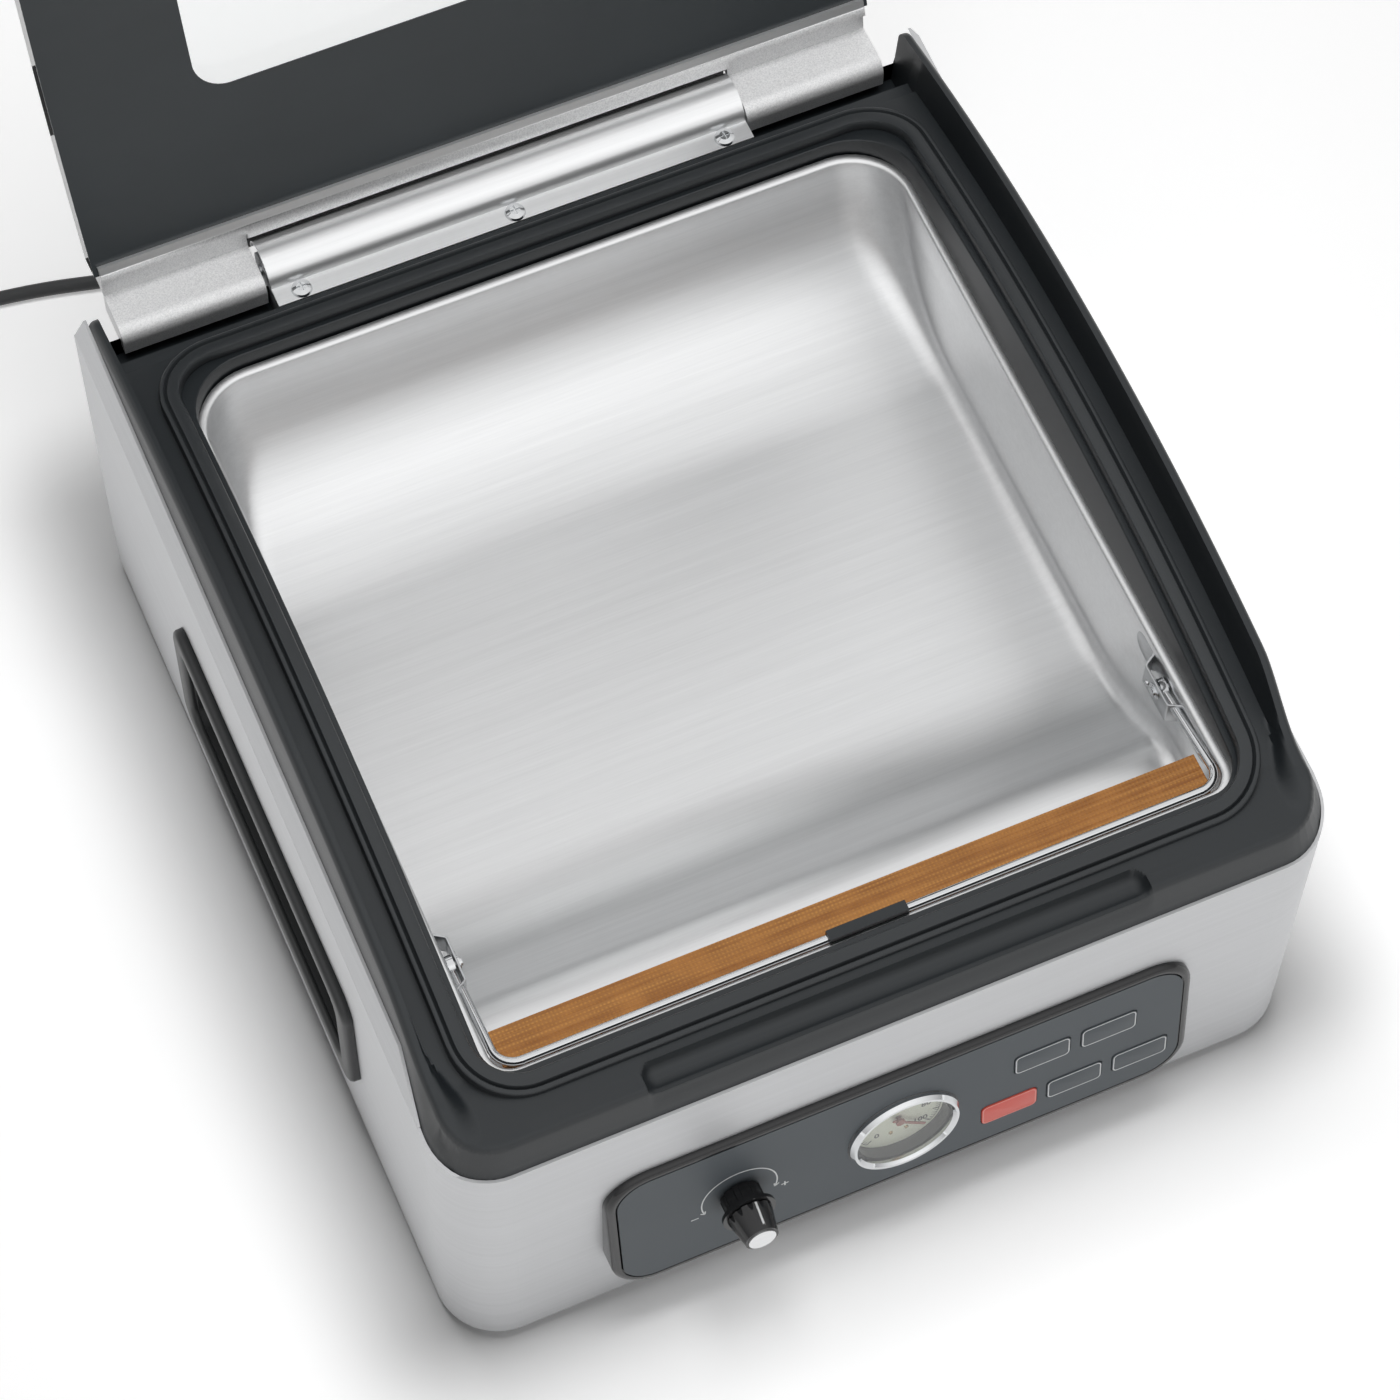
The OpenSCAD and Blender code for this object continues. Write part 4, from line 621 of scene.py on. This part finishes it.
def deckZ(c, x, y):
    base = c["ledge"] if y < c["shelfY"] else c["shelf"]
    if y < c["ledgeY"]:
        base = max(c["nose"], archZ(y, c["seat"]))
    # the rail's inner face leans out and widens into the front corner
    corner = c["corner"]
    apart = ease((y - corner["from"]) / corner["run"])
    inner = c["railIn"][0] - corner["lean"] * (1 - apart)
    width = (c["railIn"][1] - c["railIn"][0]) + corner["widen"] * (1 - apart)
    t = (abs(x) - inner) / width
    return base + (max(railZ(c, y), base) - base) * (ease(t) if apart < 1 else min(1, max(0, t)))


def grooveDrop(c, x, y):
    # a round scoop whose front wall stops at a low lip
    g = c["groove"]
    ends = max(0, abs(x) - g["half"]) / g["radius"]
    back = max(0, y - g["y"]) / g["radius"]
    away = math.hypot(ends, back)
    bead = g["bead"] * math.exp(-((away - g["beadAt"]) / g["beadWidth"]) ** 2)
    if away >= 1:
        return -bead
    front = min(1, max(0, g["y"] - y) / g["front"])
    return (1 - away ** 2) ** 0.5 * (g["lip"] + g["depth"] * (1 - front ** 2) ** 0.5) - bead


def steelTop(e, y):
    # the height and half width of the steel's upper edge beside the deck
    front, back = e["y"]
    if y < front:
        return e["low"], e["reach"]
    if y < back:
        return e["low"] + e["rise"] * (y - front) / (back - front), e["reach"]
    crease = e["crease"] + (y - back) * e["climb"]
    cut = min(e["cut"][0] + (y - back) * e["cut"][1], crease + e["band"])
    return cut, e["creased"] - (cut - crease) / e["band"] * e["lean"]


def shapeDeck(c, v):
    x, y, z = v.co
    nose, low = c["nose"], c["steel"]["low"]
    top = deckZ(c, x, y)
    across, front, rear = c["opening"]
    if abs(x) < across and front < y < rear and z <= c["lining"][1]:
        v.co.z = z if z < c["lining"][0] else top - (nose - z)
        return
    edge, reach = steelTop(c["steel"], y)
    side, start, end, blend = c["side"]
    if z > c["edge"] or z == nose:
        v.co.z = top - (nose - z)
    elif abs(x) > side and y > start:
        raised = min(edge + (z - low), top - c["under"])
        v.co.z = z + (raised - z) * ease((abs(x) - side) / blend) if y < end else raised
        skirt, lean = c["skirt"]
        past = max(0, abs(x) - skirt) * max(0, reach - skirt) / lean
        v.co.x = math.copysign(skirt + past, x) if y > end else x
    deepest, fade = c["groove"]["fade"]
    if y < c["groove"]["end"] and z > deepest:
        v.co.z -= grooveDrop(c, x, y) * min(1, (z - deepest) / fade)


def makeDeck(c):
    bm = bmesh.new()
    outer = loftOutlines(bm, c["levels"])
    hole = loftOutlines(bm, c["hole"])
    bmesh.ops.triangle_fill(bm, use_beauty=True, edges=outer[-1] + hole[0])
    slices(bm, [y for row in c["rows"] for y in steps(*row)] + c["rowsAt"])
    start, gap, count = c["grooveColumns"]
    wide = [c["groove"]["half"] + start + gap * i for i in range(count)]
    columns = wide + steps(*c["columns"]) + c["columnsAt"]
    slices(bm, [s * x for x in columns for s in (-1, 1)], "x")
    for v in bm.verts:
        shapeDeck(c, v)
    finishPiece("deck_shell", bm, toRow, "case", "deck", ["deck"], 38, weld=0.0005)


makeDeck(deck)
print("deck moulded")

# panel front
panelRim = {"corner": 19, "least": 1, "wallPlane": -2.811,
            "section": [(0, -13.5), (0, -2.6), (0.25, -1.5), (0.9, -0.6), (1.9, -0.08), (2.6, 0), (3.45, 0),
                        (3.6, -0.15), (3.6, -0.75), (4.3, -1), (4.3, -5.8), (1.6, -6.2), (1.6, -13.5)]}


def makePanelRim(c):
    bm = bmesh.new()
    levels = []
    for d, w in c["section"]:
        corner = max(c["corner"] - d, c["least"])
        levels.append((panel["half"] - d, -panel["length"] + d, -d, corner, corner, w))
    loftOutlines(bm, levels, 10, closed=True)
    tilt = math.radians(panel["tilt"])
    normal = Vector((0, math.sin(tilt), -math.cos(tilt)))
    bmesh.ops.remove_doubles(bm, verts=bm.verts, dist=0.002)
    cut = bmesh.ops.bisect_plane(bm, geom=everything(bm), dist=1e-4, plane_co=(0, 0, c["wallPlane"]),
                                 plane_no=normal, clear_outer=True)["geom_cut"]
    bmesh.ops.triangle_fill(bm, use_beauty=True, edges=only(bmesh.types.BMEdge, cut))
    finishPiece("panel_frame", bm, toFace, "case", "black", ["panel_housing"], 35)


makePanelRim(panelRim)

keySet = {"size": (24.3, 13.2), "corner": 2.6, "out": 0.5, "depth": 2.2, "round": (0.25, 0.08),
          "line": 0.5, "inset": 0.35, "raise": 0.04,
          "keys": {"key_upper_left": (60.3, 30.2, "upper_left_key", "film"),
                   "key_upper_right": (89.5, 30.2, "upper_right_key", "film"),
                   "key_stop": (46.3, 60.6, "stop_key", "red"),
                   "key_lower_mid": (75.2, 60.6, "lower_mid_key", "film"),
                   "key_lower_right": (104.3, 60.6, "lower_right_key", "film")}}


def keyLevels(c, shape):
    half, tall, r = c["size"][0] / 2, c["size"][1] / 2, c["corner"]
    return [(half - d, -tall + d, tall - d, r - d, r - d, w) for d, w in shape]


def makeKey(c, node, x, s, body, skin):
    out, top = c["out"], c["out"] + c["raise"]
    wide, thin = c["round"]
    bm = bmesh.new()
    loops = loftOutlines(bm, keyLevels(c, ((0, -c["depth"]), (0, out - wide), (thin, out - thin), (wide, out))), 6)
    for loop in (loops[0], loops[-1]):
        bmesh.ops.edgeloop_fill(bm, edges=loop)
    place = toFace @ Matrix.Translation((x, -s, 0))
    slot, ink = ("key_red", "redLine") if skin == "red" else ("key", "print")
    finishPiece(node + "_pad", bm, place, body, skin, [node], 35)
    bm = bmesh.new()
    near, far = c["inset"], c["inset"] + c["line"]
    loftOutlines(bm, keyLevels(c, ((near, out), (near, top), (far, top), (far, out))), 6, closed=True)
    finishPiece(node + "_line", bm, place, body, ink, weld=0.0002)


for node, spec in keySet["keys"].items():
    makeKey(keySet, node, *spec)
print("panel and keys made")

# prints round the knob
knobAt = (-71, -42.5)
knobMarks = {"radius": 16.2, "line": 0.6, "raise": 0.04, "from": -22, "to": 202, "parts": 40,
             "arrow": 2.4, "spread": 28, "sign": 3.2, "signAt": 20.6, "signIn": 2}


def block(bm, size, place):
    made = bmesh.ops.create_cube(bm, size=1)["verts"]
    bmesh.ops.scale(bm, vec=size, verts=made)
    bmesh.ops.transform(bm, matrix=place, verts=made)


def bar(bm, length, width, rise, place):
    block(bm, (length, width, rise), place @ Matrix.Translation((0, 0, rise / 2)))


def ringArc(bm, radius, width, rise, start, end, parts):
    # one square section spun round the arc
    half = width / 2
    face = [bm.verts.new((radius + x, 0, z)) for x, z in ((-half, 0), (half, 0), (half, rise), (-half, rise))]
    first = bm.faces.new(face)
    turn = Matrix.Rotation(math.radians(start), 3, "Z")
    bmesh.ops.rotate(bm, cent=(0, 0, 0), matrix=turn, verts=face)
    bmesh.ops.spin(bm, geom=[first] + list(first.edges) + face, cent=(0, 0, 0), axis=(0, 0, 1),
                   angle=math.radians(end - start), steps=parts, use_merge=False)


def makeKnobMarks(c):
    bm = bmesh.new()
    ringArc(bm, c["radius"], c["line"], c["raise"], c["from"], c["to"], c["parts"])
    for angle, side in ((c["from"], -1), (c["to"], 1)):
        tip = Matrix.Translation(polar(c["radius"], angle))
        for lean in (-c["spread"], c["spread"]):
            turn = Matrix.Rotation(math.radians(angle + 90 * side + 180 + lean), 4, "Z")
            bar(bm, c["arrow"], c["line"], c["raise"], tip @ turn @ Matrix.Translation((c["arrow"] / 2, 0, 0)))
    plus, minus = (polar(c["signAt"], angle) for angle in (c["from"] + c["signIn"], c["to"] - c["signIn"]))
    bar(bm, c["sign"], c["line"], c["raise"], Matrix.Translation(plus))
    bar(bm, c["line"], c["sign"], c["raise"], Matrix.Translation(plus))
    bar(bm, c["sign"], c["line"], c["raise"], Matrix.Translation(minus))
    place = toFace @ Matrix.Translation((*knobAt, 0))
    finishPiece("knob_scale", bm, place, "case", "print", weld=0.0002)


makeKnobMarks(knobMarks)

pointer = {"angle": 75, "width": 0.9, "from": (9.35, 10.6), "to": (6.95, 21.4), "raise": 0.12}


def makePointer(c):
    (r0, w0), (r1, w1) = c["from"], c["to"]
    lean = math.atan2(r0 - r1, w1 - w0)
    bm = bmesh.new()
    length = math.hypot(r0 - r1, w1 - w0)
    middle = Matrix.Translation(((r0 + r1) / 2, 0, (w0 + w1) / 2)) @ Matrix.Rotation(-lean, 4, "Y")
    block(bm, (c["raise"] * 2, c["width"], length), middle)
    turn = Matrix.Rotation(math.radians(c["angle"]), 4, "Z")
    finishPiece("knob_pointer", bm, toFace @ Matrix.Translation((*knobAt, 0)) @ turn, "seal_knob", "print",
                weld=0.0002)


makePointer(pointer)
print("knob marks printed")

gauge = {"at": (0, -44.2), "face": -5.2, "rim": 18.4, "rimLine": 0.22, "rimParts": 48, "start": 220, "sweep": -260,
         "large": 10, "small": 5, "raise": 0.06, "largeTick": (3.0, 0.55), "smallTick": (1.7, 0.26),
         "numbers": ["0", "20", "40", "60", "80", "100"], "numberAt": 12.4, "numberSize": 4.4,
         "numberBold": 0.12, "numberParts": 3,
         "pins": [(-3.4, -9.5), (3.4, -9.5)], "pin": {"segments": 20, "radius1": 1.0, "radius2": 0.8, "depth": 0.5},
         # gap: the painted shadow ring round the bezel
         "gap": (24.2, 0.55, 0.05, 0, 360, 72)}


def makeNumber(c, label):
    curve = bpy.data.curves.new("number", "FONT")
    curve.body, curve.size, curve.align_x, curve.align_y = label, c["numberSize"], "CENTER", "CENTER"
    curve.resolution_u, curve.offset = c["numberParts"], c["numberBold"]
    text = bpy.data.objects.new("number", curve)
    mesh = bpy.data.meshes.new_from_object(text)
    bpy.data.objects.remove(text)
    bm = bmesh.new()
    bm.from_mesh(mesh)
    return bm


def makeGaugeFace(c):
    place = toFace @ Matrix.Translation((*c["at"], c["face"]))
    bm = bmesh.new()
    ticks = c["large"] * c["small"]
    for i in range(ticks + 1):
        length, width = c["smallTick"] if i % c["small"] else c["largeTick"]
        turn = Matrix.Rotation(math.radians(c["start"] + c["sweep"] * i / ticks), 4, "Z")
        bar(bm, length, width, c["raise"], turn @ Matrix.Translation((c["rim"] - length / 2, 0, 0)))
    ringArc(bm, c["rim"], c["rimLine"], c["raise"], c["start"] + c["sweep"], c["start"], c["rimParts"])
    finishPiece("gauge_ticks", bm, place, "case", "scaleInk", weld=0.0001)
    for i, label in enumerate(c["numbers"]):
        spot = polar(c["numberAt"], c["start"] + c["sweep"] * i / (len(c["numbers"]) - 1))
        spot.z = c["raise"]
        finishPiece(f"gauge_number_{i}", makeNumber(c, label), place @ Matrix.Translation(spot), "case", "scaleInk",
                    turnOut=False, weld=0.0001)
    bm = bmesh.new()
    for x, y in c["pins"]:
        made = bmesh.ops.create_cone(bm, cap_ends=True, **c["pin"])["verts"]
        bmesh.ops.translate(bm, vec=(x, y, c["pin"]["depth"] / 2), verts=made)
    finishPiece("gauge_pins", bm, place, "case", "copperPin")
    # painted shadow: a thin black ring for the shaded gap between the ring and the panel film
    bm = bmesh.new()
    ringArc(bm, *c["gap"])
    finishPiece("gauge_shadow_ring", bm, toFace @ Matrix.Translation((*c["at"], 0)), "case", "black",
                weld=0.0002)


makeGaugeFace(gauge)
print("gauge face printed")

# side grips
grip = {"y0": 104, "length": 186, "z0": 50, "height": 72, "corner": 9, "wall": 187.5, "sheet": 1.6,
        "bend": 8.2, "least": 1.5,
        "section": [(0, 0), (0, 2.3), (0.2, 2.75), (0.7, 3), (6.3, 3), (6.8, 2.75), (7, 2.3), (7, 0.4), (8.2, 0.1),
                    (8.2, -17), (8.7, -20), (10, -21.6), (12.2, -22)]}


def makeGrip(c, side):
    bm = bmesh.new()
    half, tall = c["length"] / 2, c["height"]
    levels = []
    for d, w in c["section"]:
        corner = max(c["corner"] - max(0, d - c["bend"]), c["least"])
        levels.append((half - d, d, tall - d, corner, corner, w))
    loops = loftOutlines(bm, levels, 8)
    bmesh.ops.edgeloop_fill(bm, edges=loops[-1])
    # local x runs back, local y runs up, local z runs out of the wall
    turn = Matrix(((0, 0, side, side * c["wall"]), (1, 0, 0, c["y0"] + half), (0, 1, 0, c["z0"]), (0, 0, 0, 1)))
    node = "handle_right" if side > 0 else "handle_left"
    obj = finishPiece(node + "_shell", bm, toRow @ turn, "case", "matt", [node], 40)
    thicken(obj, c["sheet"], -1)


for side in (-1, 1):
    makeGrip(grip, side)
print("grips fitted")

# lid foot: s runs up the rail's front lip, w out of it, both from the lip's low corner
foot = {"half": 106.7, "end": 169.2, "corner": (411.9, 190.4), "lean": 23.3, "hinge": (hinge["y"], hinge["z"]),
        "band": (3.0, -3.2), "under": (0.2, -1.2), "sideLow": (-1, -0.6), "proud": 0.45, "round": 0.2,
        # dark: the height below which the hinge side of the foot gets painted shade
        "sweep": 14.2, "wall": 1.2, "angles": (22, -12), "dark": 187.6}


def makeFoot(c):
    lean = math.radians(c["lean"])
    up, out = (math.sin(lean), math.cos(lean)), (-math.cos(lean), math.sin(lean))

    def lip(s, w):
        return c["corner"][0] + up[0] * s + out[0] * w, c["corner"][1] + up[1] * s + out[1] * w

    def arc(radius, degrees):
        spot = polar(radius, degrees)
        return c["hinge"][0] + spot.x, c["hinge"][1] + spot.y

    top, low = c["band"]
    near, far = c["sweep"], c["sweep"] + c["wall"]
    sideLow, under = c["sideLow"], lip(*c["under"])
    profile = [lip(top, 0), lip(top, c["proud"]), lip(low, c["proud"])]
    profile += [arc(near, a) for a in c["angles"]] + [arc(far, a) for a in reversed(c["angles"])] + [under]
    side = [lip(top, 0), lip(top, c["proud"]), lip(sideLow[0], c["proud"]), lip(*sideLow), under]
    bm = bmesh.new()
    half, end = c["half"], c["end"]
    for x0, x1, shape in ((-half, half, profile), (-end, -half, side), (half, end, side)):
        face = bm.faces.new([bm.verts.new((x0, y, z)) for y, z in shape])
        made = bmesh.ops.extrude_face_region(bm, geom=[face])["geom"]
        bmesh.ops.translate(bm, vec=(x1 - x0, 0, 0), verts=only(bmesh.types.BMVert, made))
    long = [e for e in bm.edges if abs(e.verts[0].co.x - e.verts[1].co.x) > 1]
    bmesh.ops.bevel(bm, geom=long, offset=c["round"], affect="EDGES", segments=2, profile=0.5, material=-1)
    obj = finishPiece("lid_foot", bm, toRow, "lid", "blast", sharp=35)
    # painted shade: the side that faces the hinge, below a set height, gets matt black for the shadow in the slot
    # behind the hinge cover
    obj.data.materials.append(mats["matt"])
    hub, paintedShadeTop = toRow @ Vector((0, *c["hinge"])), (toRow @ Vector((0, 0, c["dark"]))).z
    for poly in obj.data.polygons:
        inward = poly.normal.dot(poly.center - hub) < 0
        if abs(poly.normal.x) < 0.5 and inward and poly.center.z < paintedShadeTop:
            poly.material_index = 1


# the print on the lid, its hidden face kept off the clear panel
ink = {"middle": (205, -462.04), "rim": 0.3, "gap": 0.2}


def makeInk(c):
    bm = bmesh.new()
    bm.from_mesh(nodes["lid_border"].data)
    bmesh.ops.remove_doubles(bm, verts=bm.verts, dist=1e-6)
    bm.transform(toLid.inverted())
    y, z = c["middle"]
    reach = [math.hypot(v.co.y - y, v.co.z - z) for v in bm.verts]
    inner = min(reach)
    for v, r in zip(bm.verts, reach):
        if r > inner + c["rim"]:
            v.co.y = y + (v.co.y - y) * (r - c["gap"]) / r
            v.co.z = z + (v.co.z - z) * (r - c["gap"]) / r
    finishPiece("lid_ink", bm, toLid, "lid", "ink", ["lid_border"], turnOut=False)


makeFoot(foot)
makeInk(ink)
print("lid foot and ink made")

# bail brackets, each a rounded strip folded out over the wire's eye and back to the wall
bracket = {"wall": 153.2, "raise": 5.0, "y": (52, 75, 79, 97.5, 101, 114), "z": (157.5, 170.5), "corner": 6.2,
           "sheet": 0.9, "pivot": (88, 165), "bend": 0.6, "sink": 1.2, "rows": (2, 3), "soft": 0.0002,
           "out": 0.9, "taper": 0.15, "rivets": [(3.6, 0.6, 0.1), (2.0, 1.6, -0.5)],
           "pin": {"radius": 1.2, "out": 0.6, "at": (5.8, -3.2)}}


def makeBracket(c, side):
    y, bend = c["y"], c["bend"]
    low, high = c["z"]
    inset, gap = c["rows"]
    bm = bmesh.new()
    outlineFace(bm, (high - low) / 2, y[0], y[-1], c["corner"], c["corner"], 0, segments=8)
    slices(bm, [at + d for at in y[1:5] for d in (-bend, 0, bend)] + steps(y[2] + inset, y[3] - inset, gap))
    for v in bm.verts:
        up, along = v.co.x, v.co.y
        t = ease((along - y[1]) / (y[2] - y[1])) - ease((along - y[3]) / (y[4] - y[3]))
        v.co = Vector((c["wall"] - c["raise"] * t, along, (low + high) / 2 + up - c["sink"] * t))
    if side < 0:
        bmesh.ops.scale(bm, vec=(-1, 1, 1), verts=bm.verts)
    name = "bail_bracket_right" if side > 0 else "bail_bracket_left"
    obj = finishPiece(name, bm, toRow, "case", "stamped", ["bail_brackets"], 50)
    thicken(obj, c["sheet"], 0)
    soft = obj.modifiers.new("edge", "BEVEL")
    soft.width, soft.segments, soft.limit_method = c["soft"], 2, "ANGLE"
    py, pz = c["pivot"]
    face = c["wall"] - c["raise"]
    bm = bmesh.new()
    turn = Matrix.Translation((side * (face - c["out"]), py, pz)) @ Matrix.Rotation(math.radians(90), 4, "Y")
    for radius, depth, x in c["rivets"]:
        made = bmesh.ops.create_cone(bm, cap_ends=True, segments=28, radius1=radius, radius2=radius - c["taper"],
                                     depth=depth)["verts"]
        bmesh.ops.transform(bm, matrix=turn @ Matrix.Translation((0, 0, side * x)), verts=made)
    pin = c["pin"]
    made = bmesh.ops.create_uvsphere(bm, u_segments=16, v_segments=10, radius=pin["radius"])["verts"]
    bmesh.ops.translate(bm, vec=(side * (face - pin["out"]), py + pin["at"][0], pz + pin["at"][1]), verts=made)
    finishPiece(name + "_rivets", bm, toRow, "case", "chrome")


for side in (-1, 1):
    makeBracket(bracket, side)
print("brackets folded")

# floor with a painted shadow round the machine, sky and lamps
# glow: rings of floor glow by distance from the footprint; the first leaves a painted shadow close round the
# machine
studio = {"floor": 0.9, "span": 6, "half": (0.19, 0.205, 1), "glow": ((0.0, 0.06, 0.33), (0.35, 1.4, 0.7)),
          "world": 0.05, "sky": (0.35, 1.06, 0.0, 0.75), "ahead": (0.0, 0.35, -0.2, -0.7),
          "lamps": [("key", (0.02, 0.12, 2.0), (0.9, 0.9), 28, (0, 0.02, 0.05)),
                    ("front", (0.0, -2.1, 0.45), (1.6, 0.6), 12, (0, 0, 0.1))]}


def vectorCalc(tree, operation, *values):
    return addNode(tree, "ShaderNodeVectorMath", dict(enumerate(values)), operation=operation).outputs


def makeFloor(c):
    bm = bmesh.new()
    bmesh.ops.create_grid(bm, x_segments=2, y_segments=2, size=c["span"])
    mesh = bpy.data.meshes.new("floor")
    bm.to_mesh(mesh)
    bm.free()
    floor = addObject("floor", mesh)
    mat = bpy.data.materials.new("paleFloor")
    mat.use_nodes = True
    tree = mat.node_tree
    tree.nodes.remove(tree.nodes["Principled BSDF"])
    paint = addNode(tree, "ShaderNodeBsdfDiffuse", {"Color": gray(c["floor"])})
    path = tree.nodes.new("ShaderNodeLightPath").outputs
    seen = calc(tree, "MAXIMUM", path["Is Camera Ray"], path["Is Glossy Ray"])
    seen = calc(tree, "MAXIMUM", seen, path["Is Transmission Ray"])
    # painted shadow: the glow grows with the distance from the machine's footprint, so the floor stays darker close
    # round the machine
    away = vectorCalc(tree, "ABSOLUTE", objectPlace(tree))[0]
    away = vectorCalc(tree, "SUBTRACT", away, c["half"])[0]
    away = vectorCalc(tree, "LENGTH", vectorCalc(tree, "MAXIMUM", away, (0, 0, 0))[0])["Value"]
    glowLeavingShadow = [spread(tree, away, 0.0, strength, start, end, interpolation_type="SMOOTHSTEP")
             for start, end, strength in c["glow"]]
    power = calc(tree, "MULTIPLY", seen, calc(tree, "ADD", *glowLeavingShadow))
    glow = addNode(tree, "ShaderNodeEmission", {"Color": gray(1), "Strength": power})
    both = addNode(tree, "ShaderNodeAddShader", {0: paint.outputs[0], 1: glow.outputs[0]})
    tree.links.new(both.outputs[0], tree.nodes["Material Output"].inputs["Surface"])
    mesh.materials.append(mat)


def makeSky(c):
    # the sky lights softly, glossy rays see it brighter overhead, the camera sees white
    world = bpy.data.worlds.new("studio")
    bpy.context.scene.world = world
    world.use_nodes = True
    tree = world.node_tree
    back = tree.nodes["Background"]
    back.inputs["Color"].default_value = gray(1)
    path = tree.nodes.new("ShaderNodeLightPath").outputs
    coord = tree.nodes.new("ShaderNodeTexCoord").outputs["Generated"]
    parts = addNode(tree, "ShaderNodeSeparateXYZ", {"Vector": coord}).outputs
    whole = calc(tree, "ADD", spread(tree, parts["Z"], *c["sky"]), spread(tree, parts["Y"], *c["ahead"]))
    shiny = addNode(tree, "ShaderNodeMix", {"Factor": path["Is Glossy Ray"], "A": c["world"], "B": whole},
                    data_type="FLOAT").outputs[0]
    clear = calc(tree, "MAXIMUM", path["Is Camera Ray"], path["Is Transmission Ray"])
    power = addNode(tree, "ShaderNodeMix", {"Factor": clear, "A": shiny, "B": 1.0}, data_type="FLOAT")
    tree.links.new(power.outputs[0], back.inputs["Strength"])


def makeLamp(name, place, size, watts, aim):
    lamp = bpy.data.lights.new(name, "AREA")
    lamp.shape, lamp.size, lamp.size_y, lamp.energy = "RECTANGLE", size[0], size[1], watts
    obj = addObject(name, lamp)
    obj.location = place
    obj.rotation_mode = "QUATERNION"
    obj.rotation_quaternion = (Vector(aim) - Vector(place)).to_track_quat("-Z", "Y")
    obj.visible_glossy = obj.visible_transmission = False


def makeStudio(c):
    makeFloor(c)
    makeSky(c)
    for lamp in c["lamps"]:
        makeLamp(*lamp)
    bpy.context.scene.view_settings.view_transform = "Standard"


makeStudio(studio)
print("studio lit")

print("scene finished")
